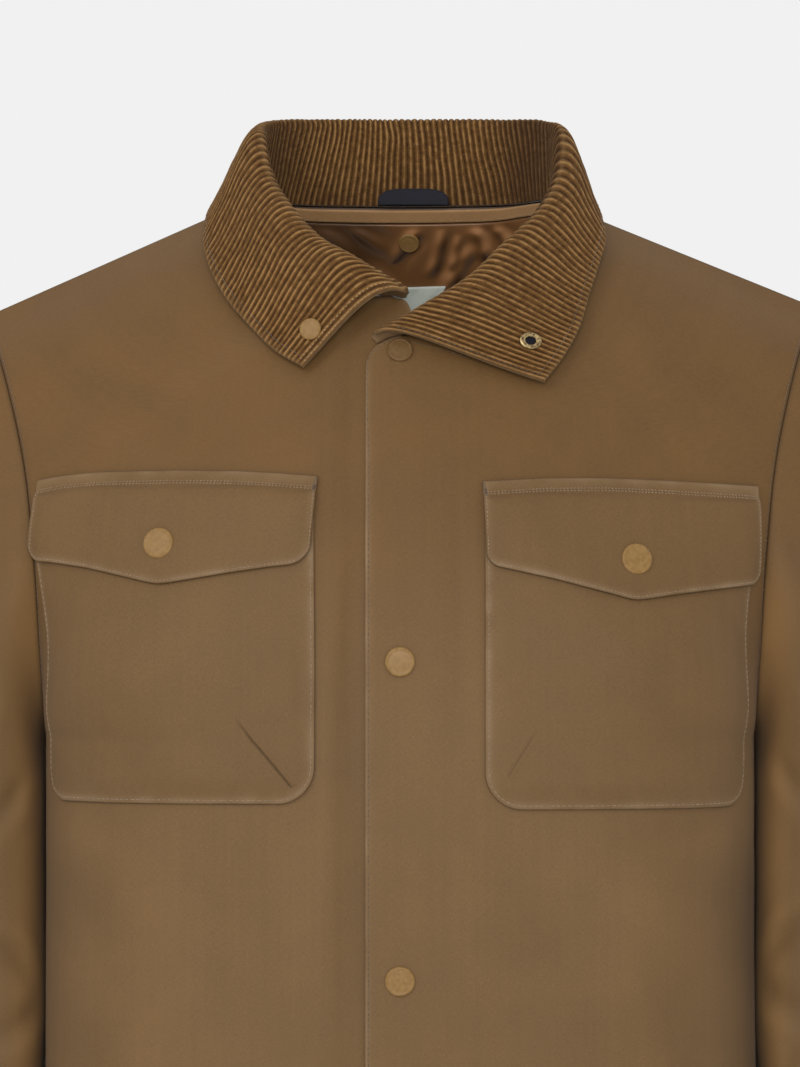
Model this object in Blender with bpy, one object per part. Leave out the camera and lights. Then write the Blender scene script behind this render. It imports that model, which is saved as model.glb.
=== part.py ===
"""Waxed cotton jacket with a corduroy collar, filled out with no wearer.

Metres. +Z is up, the front faces -Y, and the wearer's left is at +X. The origin lies in the middle of
the neck, at the height of the points where the shoulder seams meet the collar.
"""

import math

import bpy
import numpy as np

# Cloth and seams
WALL = 0.0016  # waxed cotton with what backs it
COLLAR_WALL = 0.0024  # corduroy over its plain under collar
TRIM_WALL = 0.0010  # lining, facing, loop and label
SEAM = 0.0003  # left between neighbouring pieces
LAY = 0.0012  # left under a piece that lies on a curved one

# Body
HEM_Z = -0.735
ARMPIT_Z = -0.297
ROUNDNESS_FRONT = 3.6  # exponents of the body's outline, 2 being an ellipse
ROUNDNESS_BACK = 3.0
BODY = (  # height, half width, depth in front, depth behind
    (-0.735, 0.1985, 0.1290, 0.1130),
    (-0.600, 0.1955, 0.1280, 0.1060),
    (-0.450, 0.1935, 0.1290, 0.1020),
    (-0.297, 0.1940, 0.1310, 0.1100),
    (-0.200, 0.1940, 0.1260, 0.1170),
    (-0.140, 0.1940, 0.1130, 0.1160),
    (-0.080, 0.1940, 0.0875, 0.1060),
    (-0.040, 0.1940, 0.0700, 0.0900),
    (-0.003, 0.1940, 0.0500, 0.0660),
)
ARMHOLE_FRONT = (  # share of the way up from the armpit, x, y, z
    (0.00, 0.1940, 0.000, -0.297),
    (0.12, 0.1948, -0.030, -0.283),
    (0.28, 0.1960, -0.055, -0.247),
    (0.45, 0.1985, -0.066, -0.197),
    (0.62, 0.2045, -0.057, -0.147),
    (0.80, 0.2165, -0.033, -0.098),
    (1.00, 0.2303, 0.012, -0.0635),
)
ARMHOLE_BACK = (
    (0.00, 0.1940, 0.000, -0.297),
    (0.12, 0.1948, 0.032, -0.283),
    (0.28, 0.1965, 0.064, -0.245),
    (0.45, 0.1995, 0.084, -0.195),
    (0.62, 0.2065, 0.084, -0.142),
    (0.80, 0.2190, 0.058, -0.093),
    (1.00, 0.2303, 0.012, -0.0635),
)
ARMHOLE_KEEPS = {"in front": 0.76, "behind": 0.70}  # share of the armpit's outline that lies inside it
BACK_CORNER = (0.105, 0.056, 0.002)  # where the back's upper rows turn from the neck to the shoulder
NECK_POINT = (0.0850, 0.0080, -0.0025)  # where shoulder seam and collar meet
NECK_BACK = (  # share of the way from the centre back to the neck point, x, y, z
    (0.00, 0.000, 0.0660, -0.0030),
    (0.30, 0.028, 0.0630, -0.0030),
    (0.65, 0.062, 0.0480, -0.0030),
    (1.00, 0.085, 0.0080, -0.0025),
)
NECK_FRONT = {  # from the centre front to the neck point: the placket's snap holds the left one lower
    "left": (
        (0.00, 0.000, -0.0877, -0.0805),
        (0.25, 0.032, -0.0790, -0.0730),
        (0.55, 0.060, -0.0550, -0.0500),
        (0.80, 0.077, -0.0240, -0.0230),
        (1.00, 0.085, 0.0080, -0.0025),
    ),
    "right": (
        (0.00, 0.000, -0.0790, -0.0600),
        (0.25, 0.028, -0.0760, -0.0560),
        (0.55, 0.056, -0.0560, -0.0400),
        (0.80, 0.075, -0.0250, -0.0190),
        (1.00, 0.085, 0.0080, -0.0025),
    ),
}
SHOULDER_DROP = {"left": -0.0025, "right": 0.0030}  # how much lower each shoulder's tip lies
SHOULDER_FROM = 0.30  # share of the way up the armhole where that drop sets in
ARMHOLE_BY = 0.45  # share of the way up by which a row has drawn back from the armpit's full width
NECK_FROM = 0.80  # share of the way up the back where its top edge turns from a round to the neck's cut
LEAVE_ARMPIT = (0.0, 0.0, 0.26)  # direction and reach of the panels' columns at the armpit
REACH_FRONT_TOP = (0.0, 0.19, 0.13)  # and at the shoulder
REACH_BACK_TOP = (0.0, -0.16, 0.15)
OUTLINE_STEPS = 121
CENTRE_SHARE = 0.16  # share of a front's width that its strip past the centre mirrors
CENTRE_STEPS = 9

# Closing: the left front laps over the right one
LAP = ((0.0185, 0.0105), (0.0150, 0.0050), (0.0080, 0.0013))  # how far past the centre, corner cut off there
UNDER_LAP = ((0.0180, 0.0280), (0.0030, 0.0000))
UNDER_STEP = (0.0240, 0.0360)  # the right front is fully set back, and not at all, so far from the centre
SET_BACK = WALL + 0.0015

# Steps in each panel's grid
ROWS_BODY = 7
ROWS_ARM = 11
ROWS_CENTRE = 6  # of those beside the armhole, the ones below the neck
COLUMNS = 10
COLUMNS_NECK = 4
ROWS_CAP = 4
ROWS_SLEEVE = 8

# Sleeves
SLEEVE = (  # share of the way from upper arm to cuff, x, y, z, half width, half depth
    (0.00, 0.2505, 0.006, -0.325, 0.0530, 0.070),
    (0.20, 0.2490, 0.008, -0.390, 0.0515, 0.065),
    (0.40, 0.2480, 0.003, -0.460, 0.0500, 0.061),
    (0.63, 0.2550, -0.013, -0.540, 0.0470, 0.055),
    (0.87, 0.2660, -0.033, -0.620, 0.0440, 0.049),
    (1.00, 0.2720, -0.045, -0.665, 0.0420, 0.045),
)

CAP_TOP = (0.105, 0.0, -0.045)  # direction and reach of the sleeve's columns at the shoulder's tip
CAP_FOOT = (0.007, 0.0, -0.028)  # and at the armpit
CAP_FLANK = (0.030, -0.020, -0.030)  # added in front, and behind with y turned round
CAP_ARRIVE = 0.9  # reach at the upper arm, as a share of the way there

# Collar: numbered wales run from the neck seam over the roll to the leaf's edge
WALES = 140
WALE_RISE = 0.0005
COLLAR_START = 0.0125  # how far past the centre front the left end begins
COLLAR = {
    "left": (  # wale, roll x y z, edge x y z, fullness of the roll
        (0.0, -0.0107, -0.0950, -0.0790, 0.0774, -0.0925, -0.1056, 0.016),
        (7.0, 0.0118, -0.0960, -0.0660, 0.0880, -0.0850, -0.0919, 0.014),
        (14.0, 0.0355, -0.0850, -0.0510, 0.0969, -0.0735, -0.0760, 0.012),
        (21.0, 0.0563, -0.0660, -0.0311, 0.1030, -0.0570, -0.0569, 0.011),
        (28.0, 0.0774, -0.0400, -0.0098, 0.1090, -0.0390, -0.0392, 0.010),
        (34.0, 0.0888, -0.0100, 0.0132, 0.1127, -0.0190, -0.0237, 0.009),
        (38.0, 0.0902, 0.0160, 0.0345, 0.1100, 0.0020, -0.0100, 0.008),
        (44.5, 0.0810, 0.0460, 0.0432, 0.1005, 0.0300, -0.0090, 0.007),
        (52.0, 0.0600, 0.0640, 0.0452, 0.0790, 0.0560, -0.0115, 0.007),
        (70.0, 0.0000, 0.0740, 0.0460, 0.0000, 0.0840, -0.0120, 0.007),
    ),
    "right": (
        (0.0, 0.0022, -0.0900, -0.0575, -0.0521, -0.0945, -0.0978, 0.014),
        (7.0, -0.0215, -0.0860, -0.0409, -0.0678, -0.0870, -0.0883, 0.013),
        (14.0, -0.0444, -0.0680, -0.0270, -0.0815, -0.0800, -0.0747, 0.012),
        (21.0, -0.0612, -0.0440, -0.0087, -0.0943, -0.0670, -0.0596, 0.011),
        (28.0, -0.0727, -0.0160, 0.0120, -0.1047, -0.0445, -0.0400, 0.010),
        (34.0, -0.0772, 0.0100, 0.0340, -0.1078, -0.0210, -0.0238, 0.009),
        (39.0, -0.0770, 0.0300, 0.0400, -0.1060, 0.0040, -0.0100, 0.008),
        (45.6, -0.0700, 0.0480, 0.0435, -0.0990, 0.0300, -0.0115, 0.007),
        (53.3, -0.0500, 0.0650, 0.0452, -0.0760, 0.0560, -0.0115, 0.007),
        (70.0, 0.0000, 0.0740, 0.0460, 0.0000, 0.0840, -0.0120, 0.007),
    ),
}
STAND_STEPS = (0.0, 0.40, 0.80)  # shares of the way up to the roll, then down from it
LEAF_STEPS = (0.0, 0.11, 0.30, 0.62, 1.0)
UNDER_EVERY = 2  # wales of the face to each column of the plain underside
HANDLE = 0.45  # reach of a section's handles at the neck and the edge, as a share of the way to the roll
STAND_FULLNESS = 0.6  # how far the stand bulges, as a share of the leaf
LEAF_BOW = 0.0140  # how far the right leaf's front edge bows back below the roll
LEAF_BOW_WALES = 38.0  # wales from the front end over which that fades out
LEAF_BOW_LOW = 0.4  # share of the bow that its lower handle takes
BASE_RISE = 0.0004  # height of the wall's foot above its seam
LEAF_SOFT = 0.0012  # how softly the leaf is held off the fronts
SHOULDER_LINE = 0.004  # below a front's top, where the leaf is held off it no more

LEAF_CLEAR = 0.0030  # least distance from a front out to the middle of the leaf's wall
LEAF_SNAP = {"right": (3.5, 1.78), "left": (7.0, 1.81)}  # wale from the front end, place on the section

# Pockets: across is measured along the cloth from the centre front
POCKET_WIDTH = {"left": 0.1560, "right": 0.1640}
POCKET_IN = {"left": 0.0450, "right": 0.0457}
POCKET_FOOT = {"left": -0.3335, "right": -0.3305}
POCKET_CORNER = 0.020
POCKET_BELOW_FLAP = 0.0200  # how far under the flap's seam the bag ends
FOOT_STEPS = (0.0, 0.10, 0.30, 0.62, 1.0)  # rows in the rounded foot, as shares of the corner
BAG_ROWS = 4  # rows of the front that the bag follows above that
BAG_STEPS = (0.33, 0.67, 1.0)  # and the way from there to its top
FLAP_INNER = {"left": (0.0438, 0.0455), "right": (0.0438, 0.0472)}  # across at the top and at the foot
FLAP_OUTER = {"left": (0.2012, 0.2055), "right": (0.2040, 0.2112)}
FLAP_TOP = {"left": -0.1590, "right": -0.1545}
FLAP_DEPTH = {"left": (0.0445, 0.0655, 0.0525), "right": (0.0465, 0.0617, 0.0430)}  # inner, point, outer
FLAP_CORNER = {"left": (0.0070, 0.0075), "right": (0.0120, 0.0080)}  # inner, outer
FLAP_MARGIN = 0.012  # the front's own columns are kept this far from the flap's ends
FLAP_STEPS = (1.0, 0.66, 0.33, 0.16, 0.0)
FLAP_CORNER_STEPS = (0.0, 0.12, 0.42, 0.85)
FLAP_LIFT = LAY + WALL + 0.0010  # the flap's inner face stands this far off the front, over the bag
FLAP_EASE = 0.0003  # less than that near its seam
FLAP_SNAP = {"left": (0.1259, 0.0432), "right": (0.1291, 0.0393)}  # across, and below the flap's top

# Snaps
SNAP_RADIUS = 0.0080
SMALL_SNAP_RADIUS = 0.0060
SNAP_RISE = 0.0017
SNAP_PROFILE = ((1.0, 0.0), (1.0, 0.5), (0.86, 1.0))  # shares of radius and rise
SOCKET_PROFILE = ((1.0, 0.0), (1.0, 0.4), (0.8, 1.0), (0.5, 1.0), (0.4, 0.4))
SNAP_SIDES = 16
PLACKET_SNAPS_Z = (-0.0885, -0.2550, -0.4245, -0.5940)
SNAP_GAP = 0.0004

# Back neck
INSIDE_GAP = 0.0014  # between the back's inside and what lies against it
LABEL_GAP = 0.0005
FACING_ROWS = (0.02, 0.25)  # these are counted down and sideways in steps of the back's own grid
FACING_COLUMNS = (-3.4, -3, -2, -1, 0, 1, 2, 3, 3.4)
LINING_ROWS = (0.27, 1, 2, 3, 4, 4.3)
LINING_COLUMNS = (-5, -4, -3, -2, -1, 0, 1, 2, 3, 4, 5)
LABEL_ROWS = (1.56, 2, 2.53)
LABEL_COLUMNS = (-1.34, -1, 0, 1, 1.62)
LINING_SNAP = (0.62, 0.25)  # row and column
LOOP_CENTRE = 0.0075
LOOP_HALF = 0.0200
LOOP_HEIGHT = 0.0098
LOOP_FOOT_Z = -0.0022
LOOP_FOOT_Y = 0.0612
LOOP_LEAN = 0.30  # how much further back it lies for each metre up
LOOP_END = 0.25  # its height at the ends, as a share
LOOP_BOW = 0.05  # how far its ends lie forward, as a share of their distance from its middle
LOOP_ROWS = 4
LOOP_COLUMNS = 11

# Colours, linear, with roughness and metallic
MATERIALS = {
    "waxed_cotton": ((0.180, 0.104, 0.043), 0.62, 0.0),
    "corduroy": ((0.135, 0.070, 0.024), 0.80, 0.0),
    "satin_lining": ((0.120, 0.060, 0.022), 0.38, 0.0),
    "navy_twill": ((0.010, 0.011, 0.016), 0.75, 0.0),
    "snap_enamel": ((0.370, 0.205, 0.088), 0.35, 0.0),
    "brass": ((0.480, 0.340, 0.150), 0.30, 1.0),
    "label_cloth": ((0.330, 0.350, 0.300), 0.60, 0.0),
}


# ---------------------------------------------------------------- curves


def ease(share):
    share = np.clip(share, 0.0, 1.0)
    return share * share * (3.0 - 2.0 * share)


def hermite(start, leave, end, arrive, share):
    rest = 1.0 - share
    return (
        (1.0 + 2.0 * share) * rest**2 * start
        + share * rest**2 * leave
        + share**2 * (3.0 - 2.0 * share) * end
        - share**2 * rest * arrive
    )


def bezier(points, share):
    rest = 1.0 - share
    weights = (rest**3, 3.0 * rest**2 * share, 3.0 * rest * share**2, share**3)
    return sum(weight * point for weight, point in zip(weights, points))


def read(table, at):
    """Smooth curve through a table's rows, read at a value of its first column."""
    table = np.asarray(table, float)
    knots, values = table[:, 0], table[:, 1:]
    slopes = np.gradient(values, knots, axis=0)
    at = min(max(at, knots[0]), knots[-1])
    row = min(int(np.searchsorted(knots, at, side="right")) - 1, len(knots) - 2)
    width = knots[row + 1] - knots[row]
    share = (at - knots[row]) / width
    return hermite(values[row], width * slopes[row], values[row + 1], width * slopes[row + 1], share)


def lengths(points):
    return np.concatenate([[0.0], np.cumsum(np.linalg.norm(np.diff(points, axis=0), axis=1))])


def along(points, distance):
    """Point of a polyline at this distance from its start."""
    run = lengths(points)
    return np.array([np.interp(distance, run, points[:, k]) for k in range(3)])


def unit(vector):
    return vector / np.maximum(np.linalg.norm(vector, axis=-1, keepdims=True), 1e-12)


# ---------------------------------------------------------------- body


def quarter(z, behind):
    """The body's outline at a height, from its centre to its side, at x > 0."""
    half_width, front, back = read(BODY, z)
    power = 2.0 / (ROUNDNESS_BACK if behind else ROUNDNESS_FRONT)
    angle = np.linspace(0.0, math.pi / 2.0, OUTLINE_STEPS)
    x = half_width * np.sin(angle) ** power
    y = (back if behind else -front) * np.maximum(np.cos(angle), 0.0) ** power
    return np.column_stack([x, y, np.full(len(angle), z)])


def outline_point(z, behind, across):
    points = quarter(z, behind)
    return along(points, across * lengths(points)[-1])


def armhole(side, behind, up):
    """Edge between body and sleeve, from the armpit, 0, to the shoulder's tip, 1."""
    drop = SHOULDER_DROP[side] * ease((up - SHOULDER_FROM) / (1.0 - SHOULDER_FROM))
    return read(ARMHOLE_BACK if behind else ARMHOLE_FRONT, up) - np.array([0.0, 0.0, drop])


def patch(bottom, top, edges, slopes, across, up):
    """Point between a lower and a top edge. The inner and outer edge pull it in and out sideways.

    bottom and top each hold their point at the inner edge, here, and at the outer edge.
    """
    inner, outer = edges
    level = [hermite(low, slopes[0], high, slopes[1], up) for low, high in zip(bottom, top)]
    weight = ease(across)
    return level[1] + (1.0 - weight) * (inner - level[0]) + weight**2 * (outer - level[2])


def armpit_points(behind, across, up):
    """Points of the armpit's outline under a row that the armhole cuts shorter the higher it lies."""
    kept = 1.0 - (1.0 - ARMHOLE_KEEPS["behind" if behind else "in front"]) * ease(up / ARMHOLE_BY)
    return [outline_point(ARMPIT_Z, behind, kept * share) for share in (0.0, across, 1.0)]


def front_point(side, across, up):
    """A front at x > 0: across 0 at the centre, 1 at the side; up -1 at the hem, 0 armpit, 1 top."""
    if up <= 0.0:
        return outline_point(ARMPIT_Z + (ARMPIT_Z - HEM_Z) * up, False, across)
    neck = NECK_FRONT[side]
    start, tip = np.array(NECK_POINT), armhole(side, False, 1.0)
    top = [start, start + (tip - start) * across, tip]
    neck_share = ROWS_CENTRE / ROWS_ARM
    if up <= neck_share:
        z = ARMPIT_Z + (neck[0][3] - ARMPIT_Z) * up / neck_share
        inner = np.array([0.0, -read(BODY, z)[1], z])
    else:
        inner = read(neck, (up - neck_share) / (1.0 - neck_share))
    slopes = (np.array(LEAVE_ARMPIT), np.array(REACH_FRONT_TOP))
    edges = (inner, armhole(side, False, up))
    return patch(armpit_points(False, across, up), top, edges, slopes, across, up)


def back_top(side, across, up):
    """Top edge of the back, the half neck and a shoulder seam, its corner rounded off for lower rows."""
    start, tip = np.array(NECK_POINT), armhole(side, True, 1.0)
    neck_part = COLUMNS_NECK / (COLUMNS_NECK + COLUMNS)
    if across <= neck_part:
        cut = read(NECK_BACK, across / neck_part)
    else:
        cut = start + (tip - start) * (across - neck_part) / (1.0 - neck_part)
    centre = np.array(NECK_BACK[0][1:])
    rest = 1.0 - across
    rounded = rest**2 * centre + 2.0 * rest * across * np.array(BACK_CORNER) + across**2 * tip
    return rounded + (cut - rounded) * ease((up - NECK_FROM) / (1.0 - NECK_FROM))


def back_point(side, across, up):
    """The back at x > 0, in the same terms."""
    if up <= 0.0:
        return outline_point(ARMPIT_Z + (ARMPIT_Z - HEM_Z) * up, True, across)
    centre = np.array(NECK_BACK[0][1:])
    z = ARMPIT_Z + (centre[2] - ARMPIT_Z) * up
    inner = np.array([0.0, read(BODY, z)[2], z])
    slopes = (np.array(LEAVE_ARMPIT), np.array(REACH_BACK_TOP))
    edges = (inner, armhole(side, True, up))
    top = (centre, back_top(side, across, up), armhole(side, True, 1.0))
    return patch(armpit_points(True, across, up), top, edges, slopes, across, up)


def row_levels():
    """Heights of the grid's rows, as up runs in front_point."""
    return [i / ROWS_BODY - 1.0 for i in range(ROWS_BODY)] + [i / ROWS_ARM for i in range(ROWS_ARM + 1)]


def lap_point(side, past, up):
    """Where a front goes on past the centre: the mirror image of itself at that distance."""
    shares = np.linspace(0.0, CENTRE_SHARE, CENTRE_STEPS)
    row = np.array([front_point(side, share, up) for share in shares])
    return np.array([-past] + [np.interp(past, row[:, 0], row[:, k]) for k in (1, 2)])


def front_grid(side):
    """Rows by columns of a front's outer points at x > 0, and which cells of it hold cloth.

    The first columns lie past the centre front and stop below the neck.
    """
    levels = row_levels()
    neck_row = ROWS_BODY + ROWS_CENTRE
    laps = LAP if side == "left" else UNDER_LAP
    rise = (NECK_FRONT[side][0][3] - ARMPIT_Z) * ROWS_ARM / ROWS_CENTRE
    grid = []
    for row, up in enumerate(levels):
        centre = min(up, ROWS_CENTRE / ROWS_ARM)
        strip = [lap_point(side, past, centre - cut / rise * (row >= neck_row)) for past, cut in laps]
        grid.append(strip + [front_point(side, j / COLUMNS, up) for j in range(COLUMNS + 1)])
    grid = np.array(grid)
    if side == "right":
        back_off = 1.0 - ease((grid[..., 0] - UNDER_STEP[0]) / (UNDER_STEP[1] - UNDER_STEP[0]))
        grid[..., 1] += SET_BACK * back_off
    cloth = np.ones((len(levels) - 1, grid.shape[1] - 1), bool)
    cloth[neck_row:, : len(laps)] = False
    return grid, cloth


def back_grid():
    """Rows by columns of the back's outer points, from the wearer's right side to the left."""
    count = COLUMNS_NECK + COLUMNS
    grid = []
    for up in row_levels():
        right = [back_point("right", j / count, up) * (-1.0, 1.0, 1.0) for j in range(count, 0, -1)]
        grid.append(right + [back_point("left", j / count, up) for j in range(count + 1)])
    return np.array(grid)


def sleeve_ring(share, turn):
    """Point of the sleeve: turn 0 on the outer side, a quarter in front, half at the inner side."""
    x, y, z, half_width, half_depth = read(SLEEVE, share)
    angle = 2.0 * math.pi * turn
    return np.array([x + half_width * math.cos(angle), y - half_depth * math.sin(angle), z])


def sleeve_point(side, turn, down):
    """A sleeve at x > 0: down 0 to 1 runs from the armhole to the upper arm, 1 to 2 on to the cuff."""
    if down > 1.0:
        return sleeve_ring(down - 1.0, turn)
    behind = turn > 0.5
    start = armhole(side, behind, 2.0 * turn - 1.0 if behind else 1.0 - 2.0 * turn)
    end = sleeve_ring(0.0, turn)
    top = (1.0 + math.cos(2.0 * math.pi * turn)) / 2.0
    flank = math.sin(2.0 * math.pi * turn)
    leave = top * np.array(CAP_TOP) + (1.0 - top) * np.array(CAP_FOOT)
    leave = leave + abs(flank) * np.array(CAP_FLANK) * (1.0, np.sign(flank), 1.0)
    arrive = np.array([0.0, 0.0, -CAP_ARRIVE * np.linalg.norm(end - start)])
    return hermite(start, leave, end, arrive, down)


def sleeve_grid(side):
    """Rows down the sleeve by columns round it, from the shoulder's tip by the front and back to it."""
    turns = [i / (2.0 * ROWS_ARM) for i in range(2 * ROWS_ARM)]
    downs = [i / ROWS_CAP for i in range(ROWS_CAP)] + [1.0 + i / ROWS_SLEEVE for i in range(ROWS_SLEEVE + 1)]
    return np.array([[sleeve_point(side, turn, down) for turn in turns] for down in downs])


# ---------------------------------------------------------------- solids


def quads(rows, columns, closed):
    """Corner numbers of each cell of a grid."""
    wide = columns if closed else columns - 1
    i, j = np.meshgrid(np.arange(rows - 1), np.arange(wide), indexing="ij")
    right = (j + 1) % columns
    cells = [i * columns + j, i * columns + right, (i + 1) * columns + right, (i + 1) * columns + j]
    return np.stack(cells, -1).reshape(-1, 4)


def shared_normals(grids, closed, cloth, groups):
    """Outward normals of several grids, alike where they meet: an even mean over the groups there."""
    points = np.concatenate([grid.reshape(-1, 3) for grid in grids])
    keys, same = np.unique(np.round(points, 6), axis=0, return_inverse=True)
    same = same.reshape(-1)
    totals = {group: np.zeros((len(keys), 3)) for group in groups}
    first = 0
    for grid, wraps, mask, group in zip(grids, closed, cloth, groups):
        cells = quads(grid.shape[0], grid.shape[1], wraps)
        cells = cells if mask is None else cells[mask.reshape(-1)]
        corner = grid.reshape(-1, 3)[cells]
        facing = np.cross(corner[:, 2] - corner[:, 0], corner[:, 3] - corner[:, 1])
        for k in range(4):
            np.add.at(totals[group], same[first + cells[:, k]], facing)
        first += grid.shape[0] * grid.shape[1]
    normals = unit(sum(unit(total) for total in totals.values()))[same]
    sizes = np.cumsum([0] + [grid.shape[0] * grid.shape[1] for grid in grids])
    return [normals[a:b].reshape(grid.shape) for a, b, grid in zip(sizes, sizes[1:], grids)]


def grid_normals(grid):
    return shared_normals([grid], [False], [None], ["one"])[0]


def drawn_in(grid, top=0.0, bottom=0.0, left=0.0, right=0.0):
    """The grid with its edges drawn in along the cloth, so that a seam keeps its gap."""
    grid = grid.copy()
    grid[-1] += top * unit(grid[-2] - grid[-1])
    grid[0] += bottom * unit(grid[1] - grid[0])
    grid[:, 0] += left * unit(grid[:, 1] - grid[:, 0])
    grid[:, -1] += right * unit(grid[:, -2] - grid[:, -1])
    return grid


def material(name):
    made = bpy.data.materials.get(name)
    if made is None:
        colour, roughness, metallic = MATERIALS[name]
        made = bpy.data.materials.new(name)
        made.use_nodes = True
        shader = made.node_tree.nodes["Principled BSDF"]
        shader.inputs["Base Color"].default_value = (*colour, 1.0)
        shader.inputs["Roughness"].default_value = roughness
        shader.inputs["Metallic"].default_value = metallic
        made.diffuse_color = (*colour, 1.0)
    return made


def add_solid(name, points, faces, finish):
    """One closed mesh object, its faces turned outward and its unused points left out."""
    used = sorted({index for face in faces for index in face})
    place = {index: new for new, index in enumerate(used)}
    points = np.asarray(points)[used]
    faces = [tuple(place[index] for index in face) for face in faces]
    volume = 0.0
    for face in faces:
        for second, third in zip(face[1:], face[2:]):
            volume += np.dot(points[face[0]], np.cross(points[second], points[third]))
    if volume < 0.0:
        faces = [face[::-1] for face in faces]
    mesh = bpy.data.meshes.new(name)
    mesh.from_pydata([tuple(point) for point in points], [], faces)
    mesh.materials.append(material(finish))
    mesh.shade_smooth()
    mesh.set_sharp_from_angle(angle=math.radians(40.0))
    made = bpy.data.objects.new(name, mesh)
    bpy.context.scene.collection.objects.link(made)
    return made


def add_cloth(name, outer, inner, finish, closed=False, cloth=None):
    """A wall between two grids of the same cells, with a rim along every open edge."""
    rows, columns = outer.shape[:2]
    cells = quads(rows, columns, closed)
    if cloth is not None:
        cells = cells[cloth.reshape(-1)]
    offset = rows * columns
    halves = np.concatenate([cells[:, [0, 1, 2]], cells[:, [0, 2, 3]]])
    faces = [tuple(half) for half in halves] + [tuple(half[::-1] + offset) for half in halves]
    edges = {}
    for cell in cells:
        for start, end in zip(cell, np.roll(cell, -1)):
            edges[(int(start), int(end))] = True
    for start, end in edges:
        if (end, start) not in edges:
            faces.append((end, start, start + offset, end + offset))
    points = np.concatenate([outer.reshape(-1, 3), inner.reshape(-1, 3)])
    return add_solid(name, points, [tuple(int(i) for i in face) for face in faces], finish)


def add_turned(name, profile, centre, axis, finish):
    """A round piece: profile holds radius and height along the axis, from its foot to its middle."""
    axis = unit(np.asarray(axis, float))
    helper = np.array([0.0, 0.0, 1.0]) if abs(axis[2]) < 0.9 else np.array([1.0, 0.0, 0.0])
    side = unit(np.cross(helper, axis))
    up = np.cross(axis, side)
    points = [centre + profile[0][1] * axis]
    for radius, height in profile:
        for k in range(SNAP_SIDES):
            angle = 2.0 * math.pi * k / SNAP_SIDES
            points.append(centre + height * axis + radius * (math.cos(angle) * side + math.sin(angle) * up))
    points.append(centre + profile[-1][1] * axis)
    last = len(points) - 1
    faces = []
    for k in range(SNAP_SIDES):
        following = (k + 1) % SNAP_SIDES
        faces.append((0, 1 + following, 1 + k))
        for ring in range(len(profile) - 1):
            low, high = 1 + ring * SNAP_SIDES, 1 + (ring + 1) * SNAP_SIDES
            faces.append((low + k, low + following, high + following, high + k))
        faces.append((last, last - SNAP_SIDES + k, last - SNAP_SIDES + following))
    return add_solid(name, np.array(points), faces, finish)


def mirrored(grid, side):
    return grid if side == "left" else grid * np.array([-1.0, 1.0, 1.0])


def add_body():
    """Fronts, back and sleeves. Returns their outer grids, as built."""
    grids, masks, closed, names = [], [], [], []
    for side in ("left", "right"):
        grid, cloth = front_grid(side)
        grids.append(mirrored(grid, side))
        masks.append(cloth)
        closed.append(False)
        names.append(f"front_{side}")
    grids.append(back_grid())
    masks.append(None)
    closed.append(False)
    names.append("back")
    for side in ("left", "right"):
        grids.append(mirrored(sleeve_grid(side), side))
        masks.append(None)
        closed.append(True)
        names.append(f"sleeve_{side}")
    # cells run the other way round where a grid is mirrored or faces back, so each is turned to face out
    as_is = ("front_left", "sleeve_left")
    turned = [grid if name in as_is else grid[:, ::-1] for grid, name in zip(grids, names)]
    masks[1] = masks[1][:, ::-1]
    groups = ["sleeve" if wraps else "body" for wraps in closed]
    normals = shared_normals(turned, closed, masks, groups)
    built = {}
    for name, grid, normal, wraps, mask in zip(names, turned, normals, closed, masks):
        inner = grid - WALL * normal
        half = SEAM / 2.0
        if name.startswith("sleeve"):
            grid, inner = [drawn_in(each, bottom=half) for each in (grid, inner)]
        elif name == "back":
            grid, inner = [drawn_in(each, top=half, left=half, right=half) for each in (grid, inner)]
        elif name == "front_left":
            grid, inner = [drawn_in(each, top=half, right=half) for each in (grid, inner)]
        else:
            grid, inner = [drawn_in(each, top=half, left=half) for each in (grid, inner)]
        add_cloth(name, grid, inner, "waxed_cotton", wraps, mask)
        built[name] = (grid, inner)
    return built


# ---------------------------------------------------------------- lookups on a panel


def section(grid, z):
    """Points where a panel's columns cross a height, in the order of the columns."""
    points = []
    for column in grid.transpose(1, 0, 2):
        kept = column[np.concatenate([[True], np.diff(column[:, 2]) > 0.0])]
        if kept[0, 2] <= z <= kept[-1, 2]:
            points.append([np.interp(z, kept[:, 2], kept[:, k]) for k in range(3)])
    return np.array(points)


def at_x(grid, x, z):
    """Point of a panel at this x and height, on columns that run toward larger x."""
    points = section(grid, z)
    return np.array([np.interp(x, points[:, 0], points[:, k]) for k in range(3)])


def centre_run(grid, z):
    """A front's section at a height, turned to run toward its side, with its run from x = 0."""
    points = section(grid, z)
    if points[-1, 0] < -points[0, 0]:
        points = points[::-1]
    run = lengths(points)
    return points, run - np.interp(0.0, abs(points[-1, 0]) / points[-1, 0] * points[:, 0], run)


def on_front(grid, across, z):
    """Point of a front at a distance along the cloth from the centre front, toward its side."""
    points, run = centre_run(grid, z)
    return np.array([np.interp(across, run, points[:, k]) for k in range(3)])


def on_grid(grid, down, column):
    """Point of the back, counted in steps of its grid from the top edge and from the centre."""
    row, place = len(grid) - 1 - down, (grid.shape[1] - 1) / 2.0 + column
    i, j = min(int(row), len(grid) - 2), min(int(place), grid.shape[1] - 2)
    u, v = row - i, place - j
    low = (1.0 - v) * grid[i, j] + v * grid[i, j + 1]
    high = (1.0 - v) * grid[i + 1, j] + v * grid[i + 1, j + 1]
    return (1.0 - u) * low + u * high


def raised(grid, across, z, offset, step=0.006):
    """A front's point moved out along its normal."""
    here = on_front(grid, across, z)
    sideways = on_front(grid, across + step, z) - on_front(grid, across - step, z)
    upward = here - on_front(grid, across, z - step)
    normal = unit(np.cross(sideways, upward))
    if normal[0] * here[0] + normal[1] * here[1] < 0.0:
        normal = -normal
    return here + offset * normal, normal


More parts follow.
